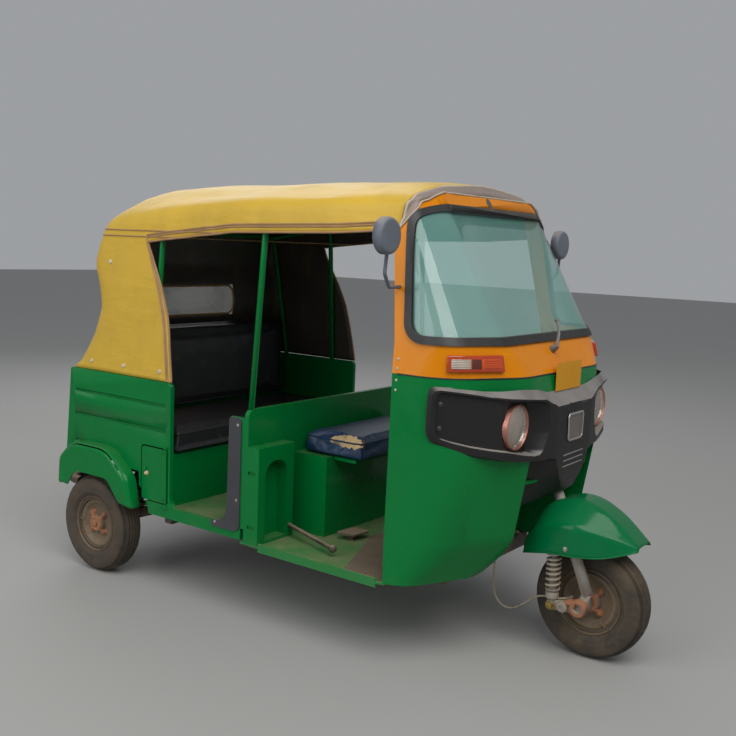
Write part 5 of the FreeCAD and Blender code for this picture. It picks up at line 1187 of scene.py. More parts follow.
class RICKSHAW_OT_cushions(bpy.types.Operator):
    """Model the three cushions: remeshed boxes that a short cloth run swells, with welted seams"""

    bl_idname = "rickshaw.cushions"
    bl_label = "Cushions"

    def execute(self, context):
        seats = context.scene.rickshaw_seats
        inset = seats.puff * 0.6
        for name, node, cover, slot, crown, voxel in CUSHIONS:
            low, high = corners_of(node)
            back = node == "passenger_backrest"
            bm = bmesh.new()
            box(bm, low + Vector((inset, inset, 0.002)), high - Vector((inset, inset, inset)), 0.016, 3)
            if back:
                lean = (high.x - low.x - 0.08) / (high.z - low.z)
                for vert in bm.verts:
                    depth = (vert.co.x - low.x - inset) / (high.x - low.x - 2 * inset)
                    vert.co.x = low.x + inset + 0.002 + depth * 0.064 + (high.z - vert.co.z) * lean
            made = piece(name, bm, BODY_OF[node], (cover, "foam"), [node], smooth=60.0)
            modified(made, "REMESH", mode="VOXEL", voxel_size=voxel)
            start = [v.co.copy() for v in made.data.vertices]
            middle = sum(start, Vector()) / len(start)
            pins = made.vertex_groups.new(name=SWELL["vertex_group_mass"])
            for i, spot in enumerate(start):
                held = spot.x < low.x + 0.018 + (high.z - spot.z) * lean if back else spot.z < low.z + 0.01
                pins.add([i], float(held), "REPLACE")
            swollen(made, seats.pressure)
            for vert, spot in zip(made.data.vertices, start):
                move = vert.co - spot
                if move.length > seats.puff:
                    vert.co = spot + move.normalized() * seats.puff
            for vert in made.data.vertices:
                away = 1.0 - min(1.0, (2 * (vert.co.y - middle.y) / (high.y - low.y)) ** 2)
                wave = noise.noise(vert.co * 11.0) * 0.0028 + noise.noise(vert.co * 34.0) * 0.001
                if back:
                    front = vert.co.x > low.x + 0.045 + (high.z - vert.co.z) * lean
                    tall = 1.0 - min(1.0, (2 * (vert.co.z - middle.z) / (high.z - low.z)) ** 2)
                    vert.co.x += (crown * away * tall + wave) * (1 if front else 0)
                elif vert.co.z > high.z - 0.035:
                    tall = 1.0 - min(1.0, (2 * (vert.co.x - middle.x) / (high.x - low.x)) ** 2)
                    vert.co.z += crown * away ** 0.5 * tall ** 0.5 * 0.6 + wave
            modified(made, "SUBSURF", levels=1, render_levels=1)
            for vert in made.data.vertices:
                for axis, spare in enumerate((0.0, 0.0, 0.004)):
                    vert.co[axis] = min(max(vert.co[axis], low[axis] + 0.0005), high[axis] + spare)
            made.data.shade_smooth()
            if name == "driver_seat":
                torn(made.data)
            welt = bmesh.new()
            if back:
                front = low.x + 0.072
                y, bottom, top = high.y - 0.02, low.z + 0.022, high.z - 0.02
                ring = [(front + (high.z - z) * lean, y * side, z)
                        for side, z in ((1, bottom), (1, top), (-1, top), (-1, bottom))]
            else:
                edge = 0.012
                left, right, rear, fore = high.y - edge, -high.y + edge, low.x + edge, high.x - edge
                ring = [(x, y, high.z - 0.016) for x, y in ((rear, right), (fore, right), (fore, left), (rear, left))]
            skin = BVHTree.FromPolygons([v.co for v in made.data.vertices], [p.vertices[:] for p in made.data.polygons])
            line = []
            for spot in finer(ring, 0.012):
                near, normal, _, _ = skin.find_nearest(spot)
                line.append(near + normal * 0.0005)
            sweep(welt, line, 0.0034, 7, closed=True, hint=(0.1, 0.2, 1))
            piece(name + "_welt", welt, BODY_OF[node], cover, smooth=50.0)
        return {"FINISHED"}


# Nose


# The nose moulding's front edge, from the top of the notch round to the beak's tip, and the edge behind it that it
# runs back to: y, z, then x, y, z
NOSE_EDGE = [
    (0.0, 0.901, 0.902, 0.0, 0.944),
    (-0.138, 0.898, 0.902, -0.15, 0.944),
    (-0.18, 0.914, 0.904, -0.186, 0.951),
    (-0.213, 0.927, 0.905, -0.215, 0.958),
    (-0.302, 0.934, 0.893, -0.302, 0.966),
    (-0.399, 0.944, 0.862, -0.405, 0.966),
    (-0.444, 0.949, 0.822, -0.449, 0.966),
    (-0.485, 0.957, 0.778, -0.49, 0.97),
    (-0.52, 0.9625, 0.74, -0.524, 0.976),
    (-0.552, 0.9675, 0.704, -0.556, 0.978),
    (-0.563, 0.964, 0.69, -0.568, 0.972),
    (-0.569, 0.952, 0.688, -0.572, 0.957),
    (-0.571, 0.9, 0.686, -0.574, 0.9),
    (-0.57, 0.84, 0.686, -0.574, 0.84),
    (-0.566, 0.819, 0.689, -0.57, 0.817),
    (-0.554, 0.8, 0.7, -0.559, 0.797),
    (-0.52, 0.776, 0.738, -0.526, 0.772),
    (-0.478, 0.7575, 0.784, -0.484, 0.753),
    (-0.436, 0.748, 0.828, -0.442, 0.744),
    (-0.385, 0.738, 0.862, -0.39, 0.734),
    (-0.322, 0.728, 0.88, -0.325, 0.724),
    (-0.245, 0.723, 0.884, -0.246, 0.72),
    (-0.17, 0.72, 0.862, -0.258, 0.719),
    (-0.131, 0.712, 0.853, -0.262, 0.714),
    (-0.122, 0.69, 0.852, -0.262, 0.69),
    (-0.098, 0.65, 0.851, -0.262, 0.64),
    (-0.06, 0.606, 0.85, -0.26, 0.576),
    (-0.03, 0.584, 0.856, -0.235, 0.549),
    (0.0, 0.58, 0.88, 0.0, 0.556),
]
NOSE_PLAN = [(0.585, -0.675, 0), (0.891, -0.4, 0.07), (0.929, -0.24, 0.016), (0.942, -0.141, 0.01), (0.946, 0.0, 0)]
NOSE_SIDE = [(0.57, 0.921), (0.578, 0.923), (0.62, 0.936), (0.65, 0.941), (0.9, 0.949), (1.0, 0.951)]
# The opening round the lamp: y, z
NOSE_WINDOW = [
    (-0.548, 0.96), (-0.52, 0.9565), (-0.485, 0.951), (-0.444, 0.943), (-0.399, 0.938), (-0.302, 0.929),
    (-0.24, 0.9235), (-0.208, 0.918), (-0.192, 0.906), (-0.186, 0.885), (-0.185, 0.85), (-0.188, 0.815),
    (-0.203, 0.783), (-0.219, 0.754), (-0.236, 0.743), (-0.262, 0.741), (-0.31, 0.7485), (-0.388, 0.766),
    (-0.437, 0.7735), (-0.479, 0.7825), (-0.521, 0.7965), (-0.545, 0.8075), (-0.556, 0.82), (-0.56, 0.84),
    (-0.561, 0.9), (-0.559, 0.945), (-0.555, 0.956),
]
# The pockets' middle height along y, how much they narrow towards their floor, and where the floor ends
POCKET_MIDDLE = [(-0.56, 0.885), (-0.24, 0.835), (-0.18, 0.845)]
POCKET_TAPER, POCKET_END = 0.952, -0.2445
# The openings in the apron behind the moulding: x they start at, outer y, inner y, bottom, top
APRON_HOLES = [
    (0.78, -0.268, -0.142, 0.54, 0.93), (0.78, -0.268, -0.075, 0.53, 0.716), (0.78, -0.268, 0.001, 0.52, 0.64),
    (0.85, -0.412, -0.245, 0.738, 0.94),
]
BADGE_SIDE = [(-0.052, 0.861), (-0.06, 0.853), (-0.056, 0.776), (-0.047, 0.768)]
BADGE_Z = 0.8145
BARS_Z = (0.7185, 0.698, 0.6775)
NOSE_STEP, WINDOW_STEP = 0.012, 0.01
LAMP_AT = (0.885, -0.326, 0.842)
# The parts of a lamp: piece, finish, (radius, along) points, steps, the angle up to which its faces are smooth
LAMP_PARTS = [
    ("lamp_ring", "lamp ring", [
        (0.069, -0.004), (0.0715, 0.0022), (0.074, 0.004), (0.0762, 0.0024), (0.0768, -0.003), (0.0768, -0.03),
        (0.075, -0.03), (0.0745, -0.006), (0.069, -0.004),
    ], 72, 40.0),
    ("reflector", "reflector", [
        (0.071, -0.002), (0.065, -0.015), (0.054, -0.031), (0.04, -0.044), (0.024, -0.052),
        (0.013, -0.0545), (0.0, -0.0545),
    ], 64, 60.0),
    ("bulb", "bulb glass", [
        (0.0, -0.014), (0.006, -0.016), (0.009, -0.022), (0.009, -0.04), (0.012, -0.044), (0.012, -0.054),
    ], 24, 60.0),
    ("lamp_glass", "lamp glass", [
        (0.0, 0.0155), (0.016, 0.0147), (0.032, 0.0122), (0.047, 0.0083), (0.062, 0.003), (0.0715, -0.0015),
    ], 72, 60.0),
]


def along(table, value):
    """The second column of a table, read off at a value of the first."""
    for (a, fa), (b, fb) in zip(table, table[1:]):
        if a <= value <= b:
            return fa + (fb - fa) * (value - a) / (b - a)
    return table[0][1] if value < table[0][0] else table[-1][1]


NOSE_FRONT = [(p.y, p.x) for p in rounded(NOSE_PLAN, 0.004)]


def nose_x(y, z):
    """How far forward the nose moulding's outer form stands."""
    return min(along(NOSE_FRONT, -abs(y)), along(NOSE_SIDE, z))


def pocket_x(y):
    """How far forward the panel beside the lamp and the floor of its pocket stand."""
    y = -abs(y)
    panel = along(NOSE_FRONT, y) - 0.0175
    share = min(1.0, max(0.0, (y + 0.412) / 0.018))
    return panel + (0.874 - panel) * share


def finer(points, step):
    """A closed line of points with more points on its long sides."""
    line = []
    for a, b in zip(points, points[1:] + points[:1]):
        a, b = Vector(a), Vector(b)
        count = max(1, round((b - a).length / step))
        line += [a.lerp(b, k / count) for k in range(count)]
    return line


def edges_round(bm, verts):
    """The edges of a closed ring of vertices."""
    return [bm.edges.new(pair) for pair in zip(verts, verts[1:] + verts[:1])]


def filled(bm, edges):
    if not bmesh.ops.triangle_fill(bm, use_beauty=True, use_dissolve=False, edges=edges)["geom"]:
        raise ValueError("a ring of the nose was not filled")


def strip(bm, near, far):
    """Faces between two closed rings of vertices."""
    for corners in zip(near, far, far[1:] + far[:1], near[1:] + near[:1]):
        bm.faces.new(corners)


def nose_outline():
    """The moulding's front edge and the edge behind it, all the way round: two lines of as many points."""
    table = NOSE_EDGE + [(-y, z, bx, -by, bz) for y, z, bx, by, bz in reversed(NOSE_EDGE[1:-1])]
    front, back = [], []
    for (y, z, *far), (next_y, next_z, *next_far) in zip(table, table[1:] + table[:1]):
        start, end = Vector((0.0, y, z)), Vector((0.0, next_y, next_z))
        count = max(1, round((start - end).length / NOSE_STEP))
        for k in range(count):
            front.append(start.lerp(end, k / count))
            back.append(Vector(far).lerp(Vector(next_far), k / count))
    return front, back


def nose_face(front):
    """The moulding's face, drawn flat, with x from 0 on its outer form to 1 on the floors of the pockets."""
    bm = bmesh.new()
    edges = edges_round(bm, [bm.verts.new(p) for p in front])
    windows = []
    for side in (1, -1):
        line = finer([(0.0, y * side, z) for y, z in NOSE_WINDOW], WINDOW_STEP)
        windows.append([bm.verts.new(p) for p in line])
        edges += edges_round(bm, windows[-1])
    filled(bm, edges)
    for verts in windows:
        inner = []
        for vert in verts:
            side = -1 if vert.co.y > 0 else 1
            y = vert.co.y * side
            middle = along(POCKET_MIDDLE, y)
            height = middle + (vert.co.z - middle) * POCKET_TAPER
            inner.append(bm.verts.new((1.0, min(y + 0.004, POCKET_END) * side, height)))
        floor = edges_round(bm, inner)
        for corners in zip(verts, verts[1:] + verts[:1], inner[1:] + inner[:1], inner):
            bm.faces.new(corners)
        filled(bm, floor)
    planes = [((0, k * NOSE_STEP, 0), (0, 1, 0)) for k in range(-47, 48)]
    planes += [((0, 0, 0.58 + k * 0.02), (0, 0, 1)) for k in range(20)]
    for spot, normal in planes:
        bmesh.ops.bisect_plane(bm, geom=bm.verts[:] + bm.edges[:] + bm.faces[:], plane_co=spot, plane_no=normal)
    return bm


def nose_skirt(front, back):
    """The moulding's sides, from its front edge to the edge behind it."""
    bm = bmesh.new()
    rings = []
    for share in (0.0, 0.06, 0.4, 0.75, 1.0):
        ring = []
        for point, far in zip(front, back):
            near = Vector((nose_x(point.y, point.z), point.y, point.z))
            ring.append(bm.verts.new(near.lerp(far, share)))
        rings.append(ring)
    for near, far in zip(rings, rings[1:]):
        strip(bm, near, far)
    bmesh.ops.recalc_face_normals(bm, faces=bm.faces)
    turned_outwards(bm, lambda f: f.normal.dot(f.calc_center_median() - Vector((0.88, 0, 0.8))))
    return mesh_of("skirt", bm)


def open_apron(shell):
    """Cuts the apron away behind the pockets and the beak."""
    cutter = bmesh.new()
    holes = APRON_HOLES[:]
    for k in range(9):
        outer = -0.556 + k * 0.018
        window = (0.797 - k * 0.0042, 0.9585 - k * 0.0015)
        holes.append((pocket_x(outer) - 0.008, outer, outer + 0.0181, *window))
    for x, outer, inner, low, top in holes:
        for side in (1, -1):
            box(cutter, (x, min(outer * side, inner * side), low), (1.0, max(outer * side, inner * side), top))
    knife = linked("cutter", mesh_of("cutter", cutter))
    modified(shell, "BOOLEAN", operation="DIFFERENCE", solver="EXACT", use_self=True, object=knife)
    bpy.data.objects.remove(knife)


class RICKSHAW_OT_nose(bpy.types.Operator):
    """Model the nose moulding with its deep lamp pockets, beak, badge, bars and screws"""

    bl_idname = "rickshaw.nose"
    bl_label = "Nose moulding"

    def execute(self, context):
        front, back = nose_outline()
        bm = nose_face(front)
        for vert in bm.verts:
            share = vert.co.x
            outer = nose_x(vert.co.y, vert.co.z)
            vert.co.x = outer + (pocket_x(vert.co.y) - outer) * share
        bmesh.ops.remove_doubles(bm, verts=bm.verts, dist=5e-5)
        bmesh.ops.recalc_face_normals(bm, faces=bm.faces)
        turned_outwards(bm, lambda f: f.normal.x)
        sides = nose_skirt(front, back)
        bm.from_mesh(sides)
        bpy.data.meshes.remove(sides)
        bmesh.ops.remove_doubles(bm, verts=bm.verts, dist=2e-4)
        sharp = [e for e in bm.edges if len(e.link_faces) == 2 and e.calc_face_angle(0.0) > math.radians(48)]
        bevelled(bm, sharp, 0.0016, clamp=True)
        bm.normal_update()
        piece("nose_moulding", bm, "root", "black plastic", ["front_fascia"], smooth=32.0)

        apron = copy_of("front_apron")
        shell = piece("front_apron_shell", apron, "root", "green enamel", ["front_apron"], smooth=30.0)
        open_apron(shell)

        bm = bmesh.new()
        corners = BADGE_SIDE + [(-y, z) for y, z in reversed(BADGE_SIDE)]
        ring = [(nose_x(0.03, z) + 0.0022, y, z) for y, z in corners]
        sweep(bm, finer(ring, 0.01), 0.0042, 8, closed=True, flat=0.8, hint=AHEAD)
        for z in BARS_Z:
            line = [(nose_x(y, z) + 0.0004, y, z + 0.006 * y) for y in (-0.08, -0.04, 0.0, 0.04, 0.08)]
            sweep(bm, line, 0.0022, 8, hint=AHEAD)
        piece("badge_frame_and_bars", bm, "root", "badge silver", smooth=45.0)
        bm = bmesh.new()
        inside = [(nose_x(0.0, z) + 0.0008, y * 0.96, BADGE_Z + (z - BADGE_Z) * 0.96) for y, z in corners]
        bmesh.ops.contextual_create(bm, geom=[bm.verts.new(p) for p in inside])
        bmesh.ops.recalc_face_normals(bm, faces=bm.faces)
        turned_outwards(bm, lambda f: f.normal.x)
        piece("badge_blank", bm, "root", "badge ground")

        bm = bmesh.new()
        for side in (1, -1):
            for z in (0.921, 0.842):
                y = -0.541 * side
                out = Vector((0.669, -0.743 * side, 0.0))
                spot = Vector((pocket_x(y), y, z)) + out * 0.0008
                prism(bm, spot, out, 0.0085, 0.0022, 20, 0.0008)
                prism(bm, spot + out * 0.002, out, 0.005, 0.0028, 12, 0.001, top=0.0036)
        piece("nose_screws", bm, "root", "trim plastic")
        return {"FINISHED"}


class RICKSHAW_OT_headlamps(bpy.types.Operator):
    """Model the headlamps: a bowl with its bulb, a copper-coloured ring and a domed glass"""

    bl_idname = "rickshaw.headlamps"
    bl_label = "Headlamps"

    def execute(self, context):
        for name, side in (("right", 1), ("left", -1)):
            centre = Vector((LAMP_AT[0], LAMP_AT[1] * side, LAMP_AT[2]))
            for part, finish, profile, steps, smooth in LAMP_PARTS:
                bm = bmesh.new()
                lathe(bm, profile, centre, (1, 0, 0), steps)
                stands_for = ["headlamps"] if (name, part) == ("right", "lamp_ring") else ()
                piece(f"{name}_{part}", bm, "root", finish, stands_for, smooth)
        return {"FINISHED"}


def skin_slab(bm, tree, turns, heights, centre, proud, thick, round_by=0.0):
    """A slab that follows a packed skin between two turns about an upright line and two heights."""
    columns = max(2, round(abs(turns[1] - turns[0]) / 2.5))
    rows = []
    for k in range(columns + 1):
        away = heading(turns[0] + (turns[1] - turns[0]) * k / columns)
        line = []
        for height in (heights[0], (heights[0] + heights[1]) / 2, heights[1]):
            spot, _ = on_skin(tree, Vector((*centre, height)) + away, -away, proud)
            line.append((spot, spot - away * thick))
        rows.append(line)
    outer = [[bm.verts.new(spot) for spot, _ in line] for line in rows]
    inner = [[bm.verts.new(spot) for _, spot in line] for line in rows]
    fresh = []
    for grid, flip in ((outer, False), (inner, True)):
        for a, b in zip(grid, grid[1:]):
            for j in range(2):
                loop = (a[j], b[j], b[j + 1], a[j + 1])
                fresh.append(bm.faces.new(loop[::-1] if flip else loop))
    walls = [(outer[k][e], outer[k + 1][e], inner[k + 1][e], inner[k][e]) for k in range(columns) for e in (0, 2)]
    walls += [(outer[e][j], outer[e][j + 1], inner[e][j + 1], inner[e][j]) for e in (0, columns) for j in range(2)]
    fresh += [bm.faces.new(loop) for loop in walls]
    bmesh.ops.recalc_face_normals(bm, faces=fresh)
    if round_by:
        seen = {v for line in outer for v in line}
        edges = unique(e for f in fresh for e in f.edges)
        sharp = [e for e in edges if e.calc_face_angle(0.0) > 0.9 and any(v in seen for v in e.verts)]
        bevelled(bm, sharp, round_by, 3)


class RICKSHAW_OT_indicators(bpy.types.Operator):
    """Model the long indicators: an orange body, a clear part, a dark part and ribs"""

    bl_idname = "rickshaw.indicators"
    bl_label = "Indicators"

    def execute(self, context):
        tree = skin_of("indicators")
        fields = {"clear": (-58, -44, 0.0012), "dark": (-43.2, -35.5, 0.0008), "amber": (-35, -18.5, 0.0008)}
        for side in (1, -1):
            name = "right" if side == 1 else "left"
            centre = (0.6, -0.3 * side)
            bm = bmesh.new()
            skin_slab(bm, tree, (-61.0 * side, -16.0 * side), (1.0265, 1.0795), centre, 0.0, 0.015, 0.0035)
            stands_for = ["indicators"] if side == 1 else ()
            piece(name + "_indicator", bm, "root", "indicator body", stands_for, smooth=40.0)
            for part, (start, end, proud) in fields.items():
                bm = bmesh.new()
                skin_slab(bm, tree, (start * side, end * side), (1.037, 1.068), centre, proud, 0.004, 0.0008)
                if part == "amber":
                    for k in range(4):
                        low = 1.0405 + k * 0.0073
                        ends = ((start + 2) * side, (end - 1) * side)
                        skin_slab(bm, tree, ends, (low, low + 0.0022), centre, 0.0026, 0.003)
                piece(f"{name}_indicator_{part}", bm, "root", f"indicator {part}", smooth=40.0)
        return {"FINISHED"}


# Sections of the mudguard: x, lower edge, top, half width, half width of its flat top
GUARD_ROWS = [
    (0.829, 0.352, 0.43, 0.112, 0.062),
    (0.885, 0.37, 0.524, 0.14, 0.058),
    (0.957, 0.386, 0.562, 0.152, 0.054),
    (1.035, 0.39, 0.566, 0.152, 0.052),
    (1.131, 0.398, 0.522, 0.116, 0.052),
    (1.228, 0.428, 0.44, 0.06, 0.05),
]


def smooth_rows(rows, steps):
    """Rows between the listed ones on a smooth curve through them."""
    fresh = []
    last = len(rows) - 1
    for i in range(last):
        for k in range(steps):
            t = k / steps
            row = []
            for p0, p1, p2, p3 in zip(rows[max(i - 1, 0)], rows[i], rows[i + 1], rows[min(i + 2, last)]):
                bend = (2 * p0 - 5 * p1 + 4 * p2 - p3) * t * t + (3 * p1 - p0 - 3 * p2 + p3) * t ** 3
                row.append(0.5 * (2 * p1 + (p2 - p0) * t + bend))
            fresh.append(row)
    return fresh + [rows[-1]]


class RICKSHAW_OT_mudguard(bpy.types.Operator):
    """Model the front mudguard as one smooth pressing with its ridge, screw and rolled edge"""

    bl_idname = "rickshaw.mudguard"
    bl_label = "Front mudguard"

    def execute(self, context):
        rows = []
        for x, low, top, half, flat in smooth_rows(GUARD_ROWS, 6):
            rise = top - low
            corners = [(-half, low, 0), (-half + 0.008, low + 0.58 * rise, 0.16 * rise), (-flat, top, 0.1 * rise)]
            corners += [(-y, z, r) for y, z, r in reversed(corners)]
            rows.append([Vector((x, p.x, p.y)) for p in evenly(rounded(corners, 0.002), count=48)])
        shell = piece("front_mudguard_pressing", grid_mesh(rows), "steering", "glossy green",
                      ["front_mudguard"], smooth=50.0)
        modified(shell, "SOLIDIFY", thickness=0.003, offset=-1.0)
        bm = bmesh.new()
        for side in (0, -1):
            line = [row[side] + Vector((0, 0.0012 if side == 0 else -0.0012, 0.001)) for row in rows]
            sweep(bm, line, [0.003] * (len(line) - 2) + [0.0022, 0.0008], 8, hint=(0.2, 1, 0.2))
        piece("front_mudguard_edge", bm, "steering", "glossy green", smooth=50.0)
        tree = BVHTree.FromBMesh(grid_mesh(rows))
        bm = bmesh.new()
        for side in (-1, 1):
            spot, normal = on_skin(tree, (1.006, 0.5 * side, 0.412), (0, -side, 0))
            prism(bm, spot, normal, 0.009, 0.0018, 24, 0.0006)
            prism(bm, spot + normal * 0.0015, normal, 0.0068, 0.0042, 16, 0.0016)
        piece("front_mudguard_screws", bm, "steering", "plain steel", smooth=40.0)
        return {"FINISHED"}


# Fittings


class RICKSHAW_OT_wiper(bpy.types.Operator):
    """Model the wiper's spindle and its short arm"""

    bl_idname = "rickshaw.wiper"
    bl_label = "Wiper"

    def execute(self, context):
        tree = skin_of("windscreen_surround", "windscreen_seal", "windscreen_glass")
        foot, out = on_skin(tree, (1.6, -0.03, 1.079), (-1, 0, 0))
        bm = bmesh.new()
        prism(bm, foot - out * 0.002, out, 0.015, 0.006, 28, 0.0015)
        prism(bm, foot + out * 0.003, out, 0.0125, 0.02, 28, 0.002, top=0.0085)
        prism(bm, foot + out * 0.021, out, 0.007, 0.006, 6, 0.001)
        start, end = foot + out * 0.016, Vector((0.829, 0.04, 1.176))
        bow = [start + (end - start) * k / 6 + out * 0.012 * math.sin(math.pi * k / 6) for k in range(7)]
        radii = [0.0075, 0.0075, 0.0068, 0.0062, 0.0058, 0.0054, 0.0052, 0.005, 0.0048, 0.0046, 0.004]
        sweep(bm, evenly(bow, count=len(radii) - 1), radii, 10, flat=0.6)
        prism(bm, end - (end - start).normalized() * 0.004, end - start, 0.0058, 0.012, 12, 0.002)
        piece("wiper_arm", bm, "root", "wiper paint", ["wiper"])
        return {"FINISHED"}


CABLE_THICKNESS = 0.0072


class RICKSHAW_OT_cable(bpy.types.Operator):
    """Hang the front brake's cable from the tub to the leg's casting"""

    bl_idname = "rickshaw.cable"
    bl_label = "Brake cable"

    def execute(self, context):
        route = [
            (0.722, -0.118, 0.292), (0.715, -0.108, 0.235), (0.712, -0.1, 0.18), (0.735, -0.096, 0.134),
            (0.785, -0.094, 0.122), (0.84, -0.096, 0.16), (0.885, -0.1, 0.202), (0.935, -0.104, 0.214),
            (0.99, -0.106, 0.216), (1.022, -0.098, 0.232),
        ]
        curve = bpy.data.curves.new("brake_cable", "CURVE")
        curve.dimensions = "3D"
        spline = curve.splines.new("NURBS")
        spline.points.add(len(route) - 1)
        for point, spot in zip(spline.points, route):
            point.co = (*spot, 1.0)
        spline.order_u = 3
        spline.use_endpoint_u = True
        spline.resolution_u = 8
        bare = linked("line", curve)
        line = [v.co.copy() for v in bpy.data.meshes.new_from_object(bare).vertices]
        bpy.data.objects.remove(bare)
        bm = bmesh.new()
        sweep(bm, line, CABLE_THICKNESS / 2, 10, hint=ALONG)
        made = piece("brake_cable", bm, None, "cable sleeve")
        clips = bmesh.new()
        for share in (0.46, 0.52):
            k = round(share * (len(line) - 1))
            ahead = (line[k + 1] - line[k - 1]).normalized()
            prism(clips, line[k] - ahead * 0.004, ahead, 0.0068, 0.008, 12, 0.0015)
        ahead = line[-1] - line[-2]
        prism(clips, line[-1] - ahead.normalized() * 0.02, ahead, 0.006, 0.022, 6, 0.001)
        clips = piece("brake_cable_clips", clips, None, "dull clips")
        for one in (made, clips):
            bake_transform(one)
        return {"FINISHED"}


TRIM_SCREWS_XZ = ((-0.114, 0.455), (-0.114, 0.74), (-0.225, 0.351))
POST_RIVETS_Z = (1.052, 1.02, 0.982, 0.95)


class RICKSHAW_OT_trims(bpy.types.Operator):
    """Add the mirrors' glass, the cowl's seam, the screws, the door's knob, the post's rivets and the header's disc"""

    bl_idname = "rickshaw.trims"
    bl_label = "Trims"

    def execute(self, context):
        for name, side in (("right", -1), ("left", 1)):
            bm = bmesh.new()
            prism(bm, (0.5305, side * 0.632, 1.45), (-1, 0, 0), 0.0545, 0.002, 48, 0.0008)
            piece("mirror_glass_" + name, bm, "root", "mirror glass", smooth=30.0)

        shell = skin_of("windscreen_surround", "front_apron")
        line = []
        for k in range(-34, 35):
            away = heading(k * 2.4)
            spot, _, _, _ = shell.ray_cast(Vector((0.45, 0, 1.0035)) + away * 1.5, -away)
            if spot is not None and spot.x > 0.53:
                line.append(spot - away * 0.0004)
        bead = bmesh.new()
        sweep(bead, evenly(line, 0.015), 0.0028, 8, hint=LEVEL)
        piece("cowl_seam", bead, "root", "seal rubber", smooth=50.0)

        tree = skin_of("door_trims")
        bolts = bmesh.new()
        for x, z in TRIM_SCREWS_XZ:
            spot, normal = on_skin(tree, (x, -1.0, z), (0, 1, 0), -0.001)
            prism(bolts, spot, normal, 0.006, 0.003, 20, 0.001)
        piece("trim_screws", bolts, "root", "plain steel")
        knob = bmesh.new()
        low, high = corners_of("access_door")
        spot, normal = on_skin(skin_of("access_door"), (low.x + 0.03, -1.0, (low.z + high.z) / 2), (0, 1, 0), -0.001)
        prism(knob, spot, normal, 0.01, 0.004, 24, 0.001)
        prism(knob, spot + normal * 0.003, normal, 0.0075, 0.008, 24, 0.002, top=0.006)
        piece("door_knob", knob, BODY_OF["access_door"], "cream knob")

        rivets = bmesh.new()
        for z in POST_RIVETS_Z:
            spot, normal, _, _ = shell.ray_cast(Vector((0.556, -1.0, z)), Vector((0, 1, 0)))
            if spot is not None:
                prism(rivets, spot - normal * 0.0006, normal, 0.0048, 0.003, 16, 0.001)
        piece("post_rivets", rivets, "root", "post rivets")

        disc = bmesh.new()
        spot, normal = on_skin(skin_of("windscreen_surround"), (1.4, -0.02, 1.583), (-1, 0, 0), -0.0005)
        where = placed(normal, spot + normal * 0.0015)
        bmesh.ops.create_cone(disc, cap_ends=True, segments=32, radius1=0.024, radius2=0.022, depth=0.003, matrix=where)
        bmesh.ops.scale(disc, vec=(0.62, 1, 1), space=where.inverted(), verts=disc.verts)
        piece("header_disc", disc, "root", "disc plastic")
        return {"FINISHED"}


# Painted pieces, studio and panel


PAINTED = {
    "green enamel": [
        "side_panel_left", "side_panel_right", "rear_mudguards", "access_door", "rear_panel", "engine_hatch",
        "toe_board", "bulkhead", "bench_base", "front_apron", "front_mudguard", "canopy_frame", "seat_back_panel",
    ],
    "floor enamel": ["floor_pan"],
    "yellow enamel": ["windscreen_surround"],
    "plate yellow": ["front_plate"],
    "chassis paint": [
        "chassis_frame", "rear_suspension", "drive_shafts", "rear_bumper", "foot_controls", "handlebar",
    ],
    "black plastic": ["front_fascia"],
    "trim plastic": ["door_trims", "dash_shelf"],
    "grey leg paint": ["steering_fork"],
    "spring paint": ["front_spring"],
    "screen glass": ["windscreen_glass"],
    "clear film": ["rear_window"],
    "seal rubber": ["windscreen_seal"],
    "mat rubber": ["floor_mat"],
    "mirror shell": ["mirrors"],
    "engine casting": ["engine_block"],
    "exhaust steel": ["silencer"],
    "red lens": ["tail_lamps"],
    "indicator body": ["indicators"],
    "lamp glass": ["headlamps"],
    "tyre rubber": ["front_tyre", "rear_left_tyre", "rear_right_tyre"],
    "wheel paint": ["front_rim", "rear_left_rim", "rear_right_rim"],
    "canopy cloth": ["canopy"],
    "cap cloth": ["canopy_cap"],
    "navy vinyl": ["driver_cushion"],
    "black vinyl": ["passenger_cushion", "passenger_backrest"],
}
# The nodes whose flat shading is replaced by a smooth copy
SMOOTHED = [
    "windscreen_surround", "windscreen_seal", "windscreen_glass", "side_panel_left", "side_panel_right",
    "rear_mudguards", "rear_panel", "mirrors", "steering_fork", "canopy_frame", "handlebar",
]


class RICKSHAW_OT_painted_nodes(bpy.types.Operator):
    """Give the packed pieces that keep their shape their paint, rubber, plastic and glass"""

    bl_idname = "rickshaw.painted_nodes"
    bl_label = "Painted pieces"

    def execute(self, context):
        look_of = {node: name for name, nodes in PAINTED.items() for node in nodes}
        for node, name in look_of.items():
            mesh = NODES[node].data
            mesh.materials.clear()
            mesh.materials.append(look(name))
        for node in SMOOTHED:
            piece(node + "_smooth", copy_of(node), BODY_OF[node], look_of[node], [node], smooth=28.0)
        return {"FINISHED"}


# The solved camera of the reference: where it stands, and its yaw, pitch and roll
CAMERA_AT = (2.3035, -3.1095, 1.4154)
CAMERA_TURN = (0.6317018, 0.1277244, 0.0400109)


